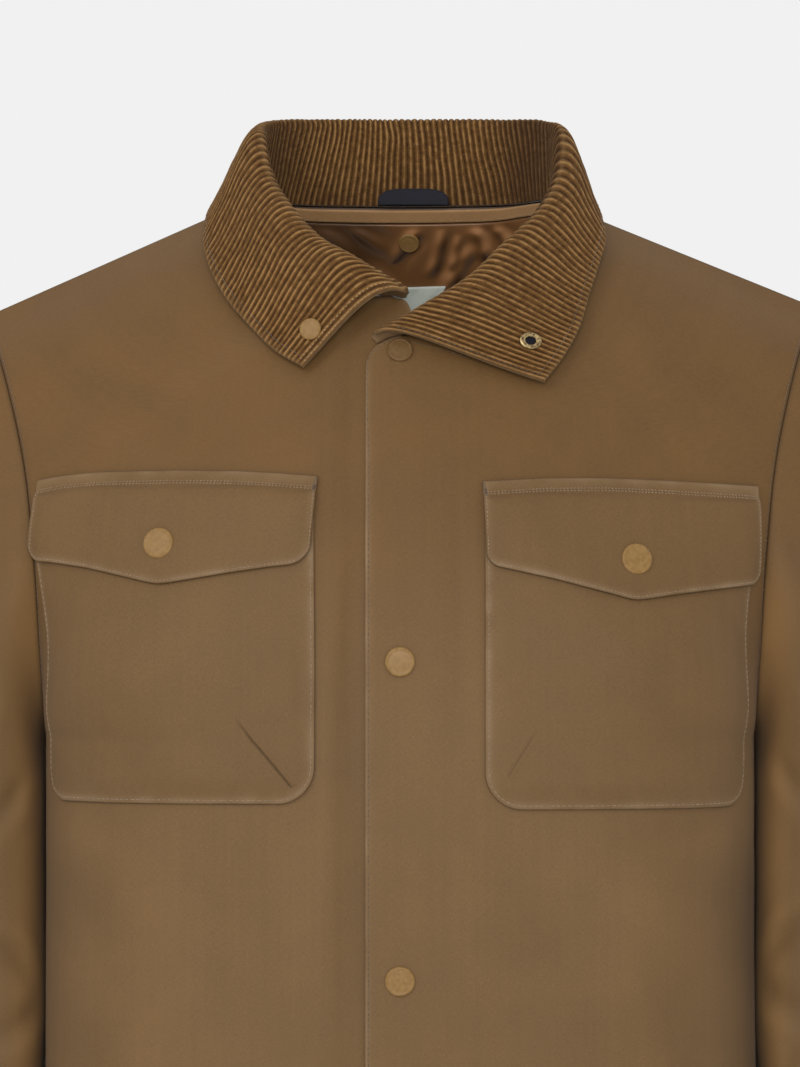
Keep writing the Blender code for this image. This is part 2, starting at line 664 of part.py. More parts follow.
def laid(grid, places, offset):
    """A grid of places on a front, each moved out by its row's or a common offset."""
    offsets = np.broadcast_to(offset, (len(places),))
    rows = zip(places, offsets)
    return np.array([[raised(grid, across, z, off)[0] for across, z in row] for row, off in rows])


# ---------------------------------------------------------------- collar


def collar_table():
    right = [(WALES - row[0], *row[1:]) for row in reversed(COLLAR["right"][:-1])]
    return list(COLLAR["left"]) + right


def neck_line(left, back, right):
    """The neck seam from the left front end round the back to the right one, in two halves."""
    row = ROWS_BODY + ROWS_CENTRE
    centre = COLUMNS_NECK + COLUMNS
    front = [left[row, 1], left[row, 2]] + list(left[row:, len(LAP)])
    share = (COLLAR_START + front[0][0]) / (front[0][0] - front[1][0])
    front[0] = front[0] + share * (front[1] - front[0])
    behind = list(back[-1, centre + COLUMNS_NECK - 1 : centre - 1 : -1])
    other = list(back[-1, centre : centre - COLUMNS_NECK : -1])
    other += list(right[:row - 1:-1, -1 - len(UNDER_LAP)]) + [right[row, -2]]
    return np.array(front + behind), np.array(other)


def neck_at(halves, wale):
    share = 2.0 * wale / WALES
    half = halves[0] if share <= 1.0 else halves[1]
    return along(half, lengths(half)[-1] * (share if share <= 1.0 else share - 1.0))


def collar_point(neck, row, bow, place):
    """Middle of the collar's wall: place 0 to 1 up the stand, 1 to 2 down the leaf."""
    roll, edge, fullness = row[:3], row[3:6], row[6]
    out = unit(unit(edge - roll) - unit(neck - roll))
    if place <= 1.0:
        low = neck + HANDLE * (roll - neck)
        return bezier((neck, low, roll - STAND_FULLNESS * fullness * out, roll), place)
    backward = bow * unit(np.cross(edge - roll, out))
    low = edge + HANDLE * (roll - edge) + LEAF_BOW_LOW * backward
    return bezier((roll, roll + fullness * out + backward, low, edge), place - 1.0)


def leaf_bow(wale):
    return LEAF_BOW * (1.0 - ease((WALES - wale) / LEAF_BOW_WALES))


def clear_base(neck, roll):
    """Middle of the wall above the neck seam, higher where the stand leans and its corner would dip."""
    lean = np.linalg.norm(unit(roll - neck)[:2])
    return neck + np.array([0.0, 0.0, SEAM + BASE_RISE + lean * COLLAR_WALL / 2.0])


def clear_of_fronts(point, fronts):
    """Lifts a point of the leaf off the front under it, softly."""
    grid = fronts["left" if point[0] > -LAP[0][0] else "right"]
    top = grid[:, :, 2].max()
    if point[1] > 0.0 or point[2] > top - SHOULDER_LINE:
        return point
    limit = at_x(grid, point[0], point[2])[1] - LEAF_CLEAR
    spare = np.logaddexp(0.0, (limit - point[1]) / LEAF_SOFT) * LEAF_SOFT
    return np.array([point[0], limit - spare, point[2]])


def collar_middle(halves, fronts, columns):
    table = collar_table()
    places = list(STAND_STEPS) + [1.0 + step for step in LEAF_STEPS]
    rows = []
    for place in places:
        row = []
        for wale in columns:
            line = read(table, wale)
            foot = clear_base(neck_at(halves, wale), line[:3])
            point = collar_point(foot, line, leaf_bow(wale), place)
            row.append(clear_of_fronts(point, fronts) if place > 1.0 else point)
        rows.append(row)
    return np.array(rows)


def add_collar(halves, fronts):
    """A wall whose face has a raised wale at every other column, and whose underside is plain."""
    columns = np.arange(2 * WALES + 1) / 2.0
    middle = collar_middle(halves, fronts, columns)
    normals = -grid_normals(middle)
    rise = np.where(np.arange(len(columns)) % 2 == 1, WALE_RISE, -WALE_RISE)
    face = middle + normals * (COLLAR_WALL / 2.0 + rise)[None, :, None]
    every = 2 * UNDER_EVERY
    under = (middle - normals * COLLAR_WALL / 2.0)[:, ::every]
    rows, count = face.shape[:2]
    below = under.shape[1]
    first = rows * count
    faces = []
    for cell in quads(rows, count, False):
        faces += [(cell[0], cell[1], cell[2]), (cell[0], cell[2], cell[3])]
    for cell in quads(rows, below, False) + first:
        faces += [(cell[2], cell[1], cell[0]), (cell[3], cell[2], cell[0])]
    for row, turn in ((0, 1), (rows - 1, -1)):
        for block in range(below - 1):
            start = row * count + block * every
            low = first + row * below + block
            middle_of = start + every // 2
            fan = [(start + k, low, start + k + 1) for k in range(every // 2)]
            fan += [(middle_of, low, low + 1)]
            fan += [(middle_of + k, low + 1, middle_of + k + 1) for k in range(every // 2)]
            faces += [corners[::turn] for corners in fan]
    for column, low_column, turn in ((0, 0, -1), (count - 1, below - 1, 1)):
        for row in range(rows - 1):
            a, b = row * count + column, (row + 1) * count + column
            c, d = first + row * below + low_column, first + (row + 1) * below + low_column
            faces += [(a, c, b)[::turn], (b, c, d)[::turn]]
    points = np.concatenate([face.reshape(-1, 3), under.reshape(-1, 3)])
    add_solid("collar", points, [tuple(int(i) for i in each) for each in faces], "corduroy")
    return middle, normals


# ---------------------------------------------------------------- pockets


def rounded_inset(height, corner):
    """How far a rounded lower corner draws the side in at this height above the foot."""
    rest = max(corner - height, 0.0)
    return corner - math.sqrt(max(corner**2 - rest**2, 0.0))


def across_of(grid, point):
    points, run = centre_run(grid, point[2])
    side = np.sign(points[-1, 0])
    return np.interp(side * point[0], side * points[:, 0], run)


def fold_columns(places, start, end, margin=0.002):
    """Where a front's own columns cross a piece on it, between the piece's ends.

    A column beyond an end is kept just inside it, so that each row has as many.
    """
    folds = places[len(places) - COLUMNS + 1 : -1]
    order = np.arange(1, len(folds) + 1)
    return list(np.clip(folds, start + margin * order, end - margin * order[::-1]))


def level_places(grid, z, start, end):
    """A level row of a piece on a front, with a point at each of the front's columns."""
    folds = fold_columns(centre_run(grid, z)[1], start, end)
    return [(across, z) for across in (start, *folds, end)]


def row_places(grid, row, start, end):
    """A row of a piece on a front that follows one of the front's own rows."""
    line = grid[row] if grid[row, -1, 0] > -grid[row, 0, 0] else grid[row, ::-1]
    line = line[-1 - COLUMNS :]
    across = np.array([across_of(grid, point) for point in line])
    folds = fold_columns(across, start, end)
    return [(place, np.interp(place, across, line[:, 2])) for place in (start, *folds, end)]


def pocket_places(side, grid):
    foot, top = POCKET_FOOT[side], FLAP_TOP[side] - POCKET_BELOW_FLAP
    start, end = POCKET_IN[side], POCKET_IN[side] + POCKET_WIDTH[side]
    rows = []
    for height in [POCKET_CORNER * share for share in FOOT_STEPS]:
        inset = rounded_inset(height, POCKET_CORNER)
        rows.append(level_places(grid, foot + height, start + inset, end - inset))
    rows += [row_places(grid, ROWS_BODY + up, start, end) for up in range(BAG_ROWS)]
    last, highest = np.array(rows[-1]), np.array(level_places(grid, top, start, end))
    return rows + [last + (highest - last) * share for share in BAG_STEPS]


def flap_foot(side, place, width):
    """Height of the flap below its seam at a distance from its inner end: a point between round corners."""
    inner, outer = FLAP_CORNER[side]
    rise = np.interp(place / width, (0.0, 0.5, 1.0), FLAP_DEPTH[side])
    return rise - rounded_inset(place, inner) - rounded_inset(width - place, outer)


def flap_places(side, grid):
    inner, outer = FLAP_CORNER[side]
    rows = []
    for down in FLAP_STEPS:
        start, end = [near + (far - near) * down for near, far in (FLAP_INNER[side], FLAP_OUTER[side])]
        width = end - start
        run = centre_run(grid, FLAP_TOP[side] - down * FLAP_DEPTH[side][0])[1]
        places = [fold - start for fold in fold_columns(run, start, end, FLAP_MARGIN)]
        places += [inner * share for share in FLAP_CORNER_STEPS]
        places += [width - outer * share for share in FLAP_CORNER_STEPS]
        places = sorted(places + [width / 2.0])
        rows.append([(start + each, FLAP_TOP[side] - down * flap_foot(side, each, width)) for each in places])
    return rows


def add_on_front(name, grid, places, low):
    """Cloth laid on a front: low is how far its underside stands off, a number or one for each row."""
    add_cloth(name, laid(grid, places, low + WALL), laid(grid, places, low), "waxed_cotton")


def add_pocket(side, grid):
    add_on_front(f"pocket_{side}", grid, pocket_places(side, grid), LAY)
    lift = np.array([FLAP_LIFT, FLAP_LIFT, FLAP_LIFT, FLAP_LIFT - FLAP_EASE, LAY])
    add_on_front(f"flap_{side}", grid, flap_places(side, grid), lift)
    across, drop = FLAP_SNAP[side]
    foot, normal = raised(grid, across, FLAP_TOP[side] - drop, FLAP_LIFT + WALL + SNAP_GAP)
    add_snap(f"snap_flap_{side}", foot, normal, SNAP_RADIUS)


# ---------------------------------------------------------------- snaps and back neck


def add_snap(name, foot, normal, radius):
    profile = [(radius * wide, SNAP_RISE * high) for wide, high in SNAP_PROFILE]
    add_turned(name, profile, foot, normal, "snap_enamel")


def add_socket(name, foot, normal, radius):
    profile = [(radius * wide, SNAP_RISE * high) for wide, high in SOCKET_PROFILE]
    add_turned(name, profile, foot, normal, "brass")


def add_leaf_snaps(middle, normals):
    places = list(STAND_STEPS) + [1.0 + step for step in LEAF_STEPS]
    for side, (wale, place) in LEAF_SNAP.items():
        column = int(2.0 * (wale if side == "left" else WALES - wale))
        point = np.array([np.interp(place, places, middle[:, column, k]) for k in range(3)])
        normal = unit(np.array([np.interp(place, places, normals[:, column, k]) for k in range(3)]))
        foot = point + normal * (COLLAR_WALL / 2.0 + WALE_RISE + SNAP_GAP)
        if side == "right":
            add_snap("snap_collar", foot, normal, SMALL_SNAP_RADIUS)
        else:
            add_socket("socket_collar", foot, normal, SMALL_SNAP_RADIUS)


def add_in_back(name, inner, normals, rows, columns, off, finish):
    """Thin cloth against the back's inside, its points those of the back moved in."""
    far, near = [
        np.array([[on_grid(inner, row, column) - (off + deep) * unit(on_grid(normals, row, column))
                   for column in columns] for row in rows])
        for deep in (0.0, TRIM_WALL)
    ]
    add_cloth(name, far, near, finish)


def add_back_neck(inner):
    """What shows inside the neck opening: facing, lining, its snap, a blank label and the hanger loop."""
    normals = grid_normals(inner)
    if normals[0, 0, 1] < 0.0:
        normals = -normals
    add_in_back("neck_facing", inner, normals, FACING_ROWS, FACING_COLUMNS, INSIDE_GAP, "waxed_cotton")
    add_in_back("lining", inner, normals, LINING_ROWS, LINING_COLUMNS, INSIDE_GAP, "satin_lining")
    on_lining = INSIDE_GAP + TRIM_WALL + LABEL_GAP
    add_in_back("label", inner, normals, LABEL_ROWS, LABEL_COLUMNS, on_lining, "label_cloth")
    normal = unit(on_grid(normals, *LINING_SNAP))
    foot = on_grid(inner, *LINING_SNAP) - on_lining * normal
    add_snap("snap_lining", foot, -normal, SMALL_SNAP_RADIUS)
    outer, inner = [], []
    for share in np.linspace(0.0, 1.0, LOOP_ROWS):
        rows = [], []
        for turn in np.linspace(-1.0, 1.0, LOOP_COLUMNS):
            x = LOOP_CENTRE + LOOP_HALF * turn
            top = LOOP_HEIGHT * (LOOP_END + (1.0 - LOOP_END) * math.sqrt(max(1.0 - turn**4, 0.0)))
            z = LOOP_FOOT_Z + top * share
            y = LOOP_FOOT_Y + LOOP_LEAN * (z - LOOP_FOOT_Z) - LOOP_BOW * LOOP_HALF * turn**2
            rows[0].append((x, y, z))
            rows[1].append((x, y - TRIM_WALL, z))
        outer.append(rows[0])
        inner.append(rows[1])
    add_cloth("hanger_loop", np.array(outer), np.array(inner), "navy_twill")


def main():
    for old in list(bpy.data.objects):
        bpy.data.objects.remove(old)
    built = add_body()
    fronts = {side: built[f"front_{side}"][0] for side in ("left", "right")}
    back, back_inner = [grid[:, ::-1] for grid in built["back"]]
    halves = neck_line(fronts["left"], back, fronts["right"])
    middle, normals = add_collar(halves, fronts)
    add_leaf_snaps(middle, normals)
    for side, grid in fronts.items():
        add_pocket(side, grid)
    for number, z in enumerate(PLACKET_SNAPS_Z, start=1):
        foot, normal = raised(fronts["left"], 0.0, z, SNAP_GAP)
        add_snap(f"snap_placket_{number}", foot, normal, SNAP_RADIUS)
    add_back_neck(back_inner)


if __name__ == "__main__":
    main()
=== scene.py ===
"""Looks of the waxed cotton jacket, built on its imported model. Metres, +Z up, the front faces -Y.

The wearer's left is at +X, which is on the right of the picture.
"""

import math

import bpy
import numpy as np
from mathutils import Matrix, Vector
from mathutils.bvhtree import BVHTree
from mathutils.kdtree import KDTree


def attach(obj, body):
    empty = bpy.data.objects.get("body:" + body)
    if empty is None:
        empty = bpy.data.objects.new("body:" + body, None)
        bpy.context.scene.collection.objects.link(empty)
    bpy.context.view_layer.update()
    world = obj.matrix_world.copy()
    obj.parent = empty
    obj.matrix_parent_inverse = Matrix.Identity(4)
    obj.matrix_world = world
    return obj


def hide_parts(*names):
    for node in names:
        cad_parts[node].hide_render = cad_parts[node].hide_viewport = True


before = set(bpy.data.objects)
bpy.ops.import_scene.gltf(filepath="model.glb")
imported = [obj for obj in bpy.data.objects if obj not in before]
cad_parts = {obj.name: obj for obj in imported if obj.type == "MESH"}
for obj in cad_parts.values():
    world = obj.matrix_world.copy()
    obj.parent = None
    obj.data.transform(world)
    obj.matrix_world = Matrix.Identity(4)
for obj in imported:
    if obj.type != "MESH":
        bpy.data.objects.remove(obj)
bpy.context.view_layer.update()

# ---------------------------------------------------------------- sizes shared with the model

WALL = 0.0016
COLLAR_WALL = 0.0024
TRIM_WALL = 0.0010
SEAM = 0.0003
LAY = 0.0012
HEM_Z = -0.735
ARMPIT_Z = -0.297
ROUNDNESS = {False: 3.6, True: 3.0}  # powers of the body's outline; True stands for the back
BODY = (  # height, half width, depth of the front, depth of the back
    (-0.735, 0.1985, 0.1290, 0.1130),
    (-0.600, 0.1960, 0.1280, 0.1060),
    (-0.450, 0.1942, 0.1290, 0.1020),
    (-0.297, 0.1940, 0.1310, 0.1100),
    (-0.200, 0.1940, 0.1260, 0.1170),
    (-0.140, 0.1940, 0.1130, 0.1160),
    (-0.080, 0.1940, 0.0875, 0.1060),
    (-0.040, 0.1940, 0.0700, 0.0900),
    (-0.003, 0.1940, 0.0500, 0.0660),
)
ARMHOLE = {  # share of the way up from the armpit, then x, y and z
    False: (
        (0.00, 0.1940, 0.000, -0.297),
        (0.12, 0.1948, -0.030, -0.283),
        (0.28, 0.1960, -0.055, -0.247),
        (0.45, 0.1985, -0.066, -0.197),
        (0.62, 0.2045, -0.057, -0.147),
        (0.80, 0.2165, -0.033, -0.098),
        (1.00, 0.2303, 0.012, -0.0635),
    ),
    True: (
        (0.00, 0.1940, 0.000, -0.297),
        (0.12, 0.1948, 0.032, -0.283),
        (0.28, 0.1965, 0.064, -0.245),
        (0.45, 0.1995, 0.084, -0.195),
        (0.62, 0.2065, 0.084, -0.142),
        (0.80, 0.2190, 0.058, -0.093),
        (1.00, 0.2303, 0.012, -0.0635),
    ),
}
ARMHOLE_KEEPS = {False: 0.76, True: 0.70}  # share of the armpit's outline that rows above it start from
BACK_CORNER = (0.105, 0.056, 0.002)  # pulls the back's rounded top out between centre and shoulder
NECK_POINT = (0.0850, 0.0080, -0.0025)
NECK_BACK = (  # share of the way out from the centre, then x, y and z
    (0.00, 0.000, 0.0660, -0.0030),
    (0.30, 0.028, 0.0630, -0.0030),
    (0.65, 0.062, 0.0480, -0.0030),
    (1.00, 0.085, 0.0080, -0.0025),
)
NECK_FRONT = {  # share of the way from the centre to the shoulder, then x, y and z
    "left": (
        (0.00, 0.000, -0.0877, -0.0805),
        (0.25, 0.032, -0.0790, -0.0730),
        (0.55, 0.060, -0.0550, -0.0500),
        (0.80, 0.077, -0.0240, -0.0230),
        (1.00, 0.085, 0.0080, -0.0025),
    ),
    "right": (
        (0.00, 0.000, -0.0790, -0.0600),
        (0.25, 0.028, -0.0760, -0.0560),
        (0.55, 0.056, -0.0560, -0.0400),
        (0.80, 0.075, -0.0250, -0.0190),
        (1.00, 0.085, 0.0080, -0.0025),
    ),
}
SHOULDER_DROP = {"left": -0.0025, "right": 0.0030}  # how much lower each shoulder's tip lies
LAP_PAST = 0.0185  # how far the placket laps past the centre
LAP_CORNER = (0.0165, 0.0105)  # the placket's rounded corner, across and down
UNDER_PAST = 0.0180  # how far the front under it goes past the centre
UNDER_CUT = 0.0280  # how far that front's corner is cut down
UNDER_STEP = (0.0240, 0.0360)  # x between which it comes forward from behind the placket
SET_BACK = WALL + 0.0015
NECK_SHARE = 6.0 / 11.0  # share of the way up from the armpit at which the neck's cut starts
NECK_PART = 4.0 / 14.0  # share of the back's top edge that the neck takes
SLEEVE = (  # share of the way down, the middle's x, y and z, half width, half depth
    (0.00, 0.2492, 0.006, -0.325, 0.0543, 0.070),
    (0.20, 0.2478, 0.008, -0.390, 0.0528, 0.065),
    (0.40, 0.2463, 0.003, -0.460, 0.0518, 0.061),
    (0.50, 0.2484, -0.003, -0.495, 0.0505, 0.0585),
    (0.63, 0.2550, -0.013, -0.540, 0.0470, 0.055),
    (0.87, 0.2660, -0.033, -0.620, 0.0440, 0.049),
    (1.00, 0.2720, -0.045, -0.665, 0.0420, 0.045),
)
SLEEVE_ROUND = 2.15  # power of its outline, 2 for an ellipse
SLEEVE_FULL = 1.6  # added to that at its inner front, where it lies against the body
WALES = 140
COLLAR_START = 0.0125  # x past the centre at which the neck seam starts on the left front
COLLAR = (  # wale, a point on the roll, a point on the leaf's edge, and how full the roll is
    (0.0, -0.0107, -0.0950, -0.0790, 0.0774, -0.0925, -0.1056, 0.016),
    (7.0, 0.0118, -0.0960, -0.0660, 0.0880, -0.0850, -0.0919, 0.014),
    (14.0, 0.0355, -0.0850, -0.0510, 0.0969, -0.0735, -0.0760, 0.012),
    (21.0, 0.0563, -0.0660, -0.0311, 0.1030, -0.0570, -0.0569, 0.011),
    (28.0, 0.0774, -0.0400, -0.0098, 0.1090, -0.0390, -0.0392, 0.010),
    (34.0, 0.0888, -0.0100, 0.0132, 0.1127, -0.0190, -0.0237, 0.009),
    (38.0, 0.0902, 0.0160, 0.0345, 0.1100, 0.0020, -0.0100, 0.008),
    (44.5, 0.0810, 0.0460, 0.0432, 0.1005, 0.0300, -0.0090, 0.007),
    (52.0, 0.0600, 0.0640, 0.0452, 0.0790, 0.0560, -0.0115, 0.007),
    (70.0, 0.0000, 0.0740, 0.0460, 0.0000, 0.0840, -0.0120, 0.007),
    (86.7, -0.0500, 0.0650, 0.0452, -0.0760, 0.0560, -0.0115, 0.007),
    (94.4, -0.0700, 0.0480, 0.0435, -0.0990, 0.0300, -0.0115, 0.007),
    (101.0, -0.0770, 0.0300, 0.0400, -0.1060, 0.0040, -0.0100, 0.008),
    (106.0, -0.0772, 0.0100, 0.0340, -0.1078, -0.0210, -0.0238, 0.009),
    (112.0, -0.0727, -0.0160, 0.0120, -0.1047, -0.0445, -0.0400, 0.010),
    (119.0, -0.0612, -0.0440, -0.0087, -0.0943, -0.0670, -0.0596, 0.011),
    (126.0, -0.0444, -0.0680, -0.0270, -0.0815, -0.0800, -0.0747, 0.012),
    (133.0, -0.0215, -0.0860, -0.0409, -0.0678, -0.0870, -0.0883, 0.013),
    (140.0, 0.0022, -0.0900, -0.0575, -0.0521, -0.0945, -0.0978, 0.014),
)
LEAF_CLEAR = 0.0030  # the leaf's middle stays this far off the fronts
COLLAR_SNAP = (WALES - 3.5, 1.78)  # wale, and place: 0 at the neck seam, 1 at the roll, 2 at the edge
COLLAR_SOCKET = (7.0, 1.81)
HANDLE = 0.45  # length of a curve's handle, as a share of the distance between its ends
STAND_FULLNESS = 0.6
LEAF_BOW = 0.0140  # how far the leaf bows at the collar's right end
LEAF_BOW_WALES = 38.0
LEAF_BOW_LOW = 0.4
LEAF_SOFT = 0.0012
SHOULDER_LINE = 0.004  # the leaf is kept off a front up to this far below its top
POCKET_WIDTH = {"left": 0.1560, "right": 0.1640}
POCKET_IN = {"left": 0.0450, "right": 0.0457}
POCKET_FOOT = {"left": -0.3335, "right": -0.3305}
POCKET_CORNER = 0.020
POCKET_BELOW_FLAP = 0.0200
FLAP_INNER = {"left": (0.0438, 0.0455), "right": (0.0438, 0.0472)}
FLAP_OUTER = {"left": (0.2012, 0.2055), "right": (0.2040, 0.2112)}
FLAP_TOP = {"left": -0.1590, "right": -0.1545}
FLAP_DEPTH = {"left": (0.0445, 0.0655, 0.0525), "right": (0.0465, 0.0617, 0.0430)}
FLAP_CORNER = {"left": (0.0070, 0.0075), "right": (0.0120, 0.0080)}
FLAP_LIFT = LAY + WALL + 0.0010
FLAP_SNAP = {"left": (0.1259, 0.0432), "right": (0.1291, 0.0393)}
SNAP_RADIUS = 0.0080
SMALL_SNAP_RADIUS = 0.0060
PLACKET_SNAPS_Z = (-0.0885, -0.2550, -0.4245, -0.5940)
INSIDE_GAP = 0.0014

# ---------------------------------------------------------------- sizes of the looks

EDGE_ROUND = 0.0009  # radius of a cut or folded edge
TRIM_ROUND = 0.0006
COLLAR_ROUND = 0.0013
RIM_STEP = 0.0006  # between the samples of a rim
STITCH_PITCH = 0.0030
STITCH_LENGTH = 0.0023
THREAD = 0.00024  # radius
EDGE_ROW = 0.0021  # rows of stitches, from the edge
FLAP_ROW = 0.0015
SEAM_ROW = 0.0022
HEM_ROW = 0.014
CUFF_ROW = 0.024
TOP_SNAP_RADIUS = 0.0069
FLAP_SNAP_RADIUS = 0.0084
WALE_STEPS = 8  # columns of the mesh to each wale
WALE_WIDTH = 0.0033
WALE_DEPTH = 0.0009
MESH_STEP = 0.0026  # between rows and columns of pockets and flaps, away from their edges
FINE_STEP = 0.00055  # the same beside a dart
FOLD_SHADE_AND_RUB = 60.0  # how much paler a ridge is and darker a trough, to each metre of its height: painted highlight and painted shade on the creases, along with wax rubbed off the ridges
BACKDROP = 0.878
FORWARD = np.array([0.0, -1.0, 0.0])
MIRROR = np.array([-1.0, 1.0, 1.0])

# ---------------------------------------------------------------- curves


def ease(share):
    """From 0 to 1 with flat ends."""
    share = np.clip(share, 0.0, 1.0)
    return share * share * (3.0 - 2.0 * share)


def past(value, start, over):
    """0 up to a start, and 1 from this much past it."""
    return ease((value - start) / over)


def hermite(start, leave, end, arrive, share):
    rest = 1.0 - share
    return (
        (1.0 + 2.0 * share) * rest**2 * start
        + share * rest**2 * leave
        + share**2 * (3.0 - 2.0 * share) * end
        - share**2 * rest * arrive
    )


def read(table, at):
    """A smooth curve through a table's rows, each a place and its values, read at one place."""
    table = np.asarray(table, float)
    knots, values = table[:, 0], table[:, 1:]
    slopes = np.gradient(values, knots, axis=0)
    at = min(max(at, knots[0]), knots[-1])
    row = min(int(np.searchsorted(knots, at, side="right")) - 1, len(knots) - 2)
    width = knots[row + 1] - knots[row]
    share = (at - knots[row]) / width
    return hermite(values[row], width * slopes[row], values[row + 1], width * slopes[row + 1], share)


def lengths(points):
    """Distance of each point along the line through them."""
    return np.concatenate([[0.0], np.cumsum(np.linalg.norm(np.diff(points, axis=0), axis=1))])


def between(at, knots, values):
    """Rows of values read between their knots, at one place or many."""
    return np.stack([np.interp(at, knots, column) for column in values.T], -1)


def along(points, distance):
    return between(distance, lengths(points), points)


def unit(vector):
    return vector / np.maximum(np.linalg.norm(vector, axis=-1, keepdims=True), 1e-12)


def bell(value, width):
    """1 where the value is 0, and falling off over this width to both sides."""
    return np.exp(-((value / width) ** 2))


HASH = np.array([374761393, 668265263, 1440662683])  # they mix whole-numbered places
HASH_SEED = 97531
HASH_TURN = 1274126177
LOW_BITS = 0xFFFFFFFF


def lattice(cell, seed):
    """A fixed value from 0 to 1 at each whole-numbered place."""
    mixed = cell.astype(np.int64) @ HASH + seed * HASH_SEED
    mixed = (mixed ^ (mixed >> 13)) & LOW_BITS
    mixed = (mixed * HASH_TURN) & LOW_BITS
    return ((mixed ^ (mixed >> 16)) & 0xFFFF) / 65535.0


def noise(points, size, seed):
    """Smooth unevenness from -1 to 1, with features of about this size."""
    scaled = points / size
    cell = np.floor(scaled)
    share = ease(scaled - cell)
    total = 0.0
    for corner in np.ndindex(2, 2, 2):
        weight = np.prod(np.where(np.array(corner) == 1, share, 1.0 - share), axis=-1)
        total = total + weight * lattice(cell + np.array(corner), seed)
    return 2.0 * total - 1.0


def cubic_rows(grid, at):
    """The grid read between its rows. at holds row numbers, one list for all columns or one for each."""
    at = np.asarray(at, float)
    if at.ndim == 1:
        at = np.repeat(at[:, None], grid.shape[1], axis=1)
    low = np.clip(np.floor(at).astype(int), 0, len(grid) - 2)
    t = (at - low)[..., None]
    ends = np.concatenate([2.0 * grid[:1] - grid[1:2], grid, 2.0 * grid[-1:] - grid[-2:-1]])
    column = np.arange(grid.shape[1])[None, :]
    a, b, c, d = (ends[low + k, column] for k in range(4))
    squared = 2.0 * a - 5.0 * b + 4.0 * c - d
    cubed = 3.0 * (b - c) + d - a
    return b + 0.5 * t * (c - a + t * (squared + t * cubed))


def cubic_columns(grid, at):
    at = np.asarray(at, float)
    return cubic_rows(grid.transpose(1, 0, 2), at if at.ndim == 1 else at.T).transpose(1, 0, 2)


def stations(last, step, close=(), ends=(), extra=()):
    """Row or column numbers about one step apart, closer at 0 (close), at the end, and at extra ones."""
    fixed = sorted(set(close) | {last - each for each in ends} | set(extra) | {0.0, float(last)})
    even = np.linspace(0.0, last, int(round(last / step)) + 1)
    kept = [each for each in even if min(abs(each - other) for other in fixed) > 0.45 * step]
    return np.array(sorted(fixed + kept))


# ---------------------------------------------------------------- the model's surfaces


def quarter(z, behind):
    half_width, front, back = read(BODY, z)
    power = 2.0 / ROUNDNESS[behind]
    angle = np.linspace(0.0, math.pi / 2.0, 121)
    x = half_width * np.sin(angle) ** power
    y = (back if behind else -front) * np.maximum(np.cos(angle), 0.0) ** power
    return np.column_stack([x, y, np.full(len(angle), z)])


def outline_points(z, behind, shares):
    points = quarter(z, behind)
    return along(points, np.asarray(shares) * lengths(points)[-1])


def armhole(side, behind, up):
    drop = SHOULDER_DROP[side] * ease((up - 0.3) / 0.7)
    return read(ARMHOLE[behind], up) - np.array([0.0, 0.0, drop])


def panel_row(side, behind, shares, up):
    """A row of the front or back at x > 0, from the centre, 0, to the side, 1."""
    if up <= 0.0:
        return outline_points(ARMPIT_Z + (ARMPIT_Z - HEM_Z) * up, behind, shares)
    tip = armhole(side, behind, 1.0)
    outer = armhole(side, behind, up)
    kept = 1.0 - (1.0 - ARMHOLE_KEEPS[behind]) * ease(up / 0.45)
    below = outline_points(ARMPIT_Z, behind, kept * np.concatenate([[0.0], shares, [1.0]]))
    if behind:
        first = np.array(NECK_BACK[0][1:])
        top = np.array([back_top(tip, share, up) for share in shares])
        z = ARMPIT_Z + (first[2] - ARMPIT_Z) * up
        inner = np.array([0.0, read(BODY, z)[2], z])
        slopes = (np.array([0.0, 0.0, 0.26]), np.array([0.0, -0.16, 0.15]))
    else:
        first = np.array(NECK_POINT)
        top = first + (tip - first) * shares[:, None]
        neck = NECK_FRONT[side]
        if up <= NECK_SHARE:
            z = ARMPIT_Z + (neck[0][3] - ARMPIT_Z) * up / NECK_SHARE
            inner = np.array([0.0, -read(BODY, z)[1], z])
        else:
            inner = read(neck, (up - NECK_SHARE) / (1.0 - NECK_SHARE))
        slopes = (np.array([0.0, 0.0, 0.26]), np.array([0.0, 0.19, 0.13]))
    level = hermite(below, slopes[0], np.concatenate([[first], top, [tip]]), slopes[1], up)
    weight = ease(shares)[:, None]
    return level[1:-1] + (1.0 - weight) * (inner - level[0]) + weight**2 * (outer - level[-1])


def back_top(tip, across, up):
    start = np.array(NECK_POINT)
    if across <= NECK_PART:
        cut = read(NECK_BACK, across / NECK_PART)
    else:
        cut = start + (tip - start) * (across - NECK_PART) / (1.0 - NECK_PART)
    centre = np.array(NECK_BACK[0][1:])
    rest = 1.0 - across
    rounded = rest**2 * centre + 2.0 * rest * across * np.array(BACK_CORNER) + across**2 * tip
    return rounded + (cut - rounded) * ease((up - 0.80) / 0.20)


BODY_ROWS = 63
ARM_ROWS = 33
NECK_ROW = BODY_ROWS + 18
FRONT_COLUMNS = 30
BACK_COLUMNS = 42
STRIP = 8  # columns of a front past the centre


def levels():
    """Heights of a panel's rows: -1 at the hem, 0 at the armpit and 1 at the shoulder."""
    below = [i / BODY_ROWS - 1.0 for i in range(BODY_ROWS)]
    return below + [i / ARM_ROWS for i in range(ARM_ROWS + 1)]


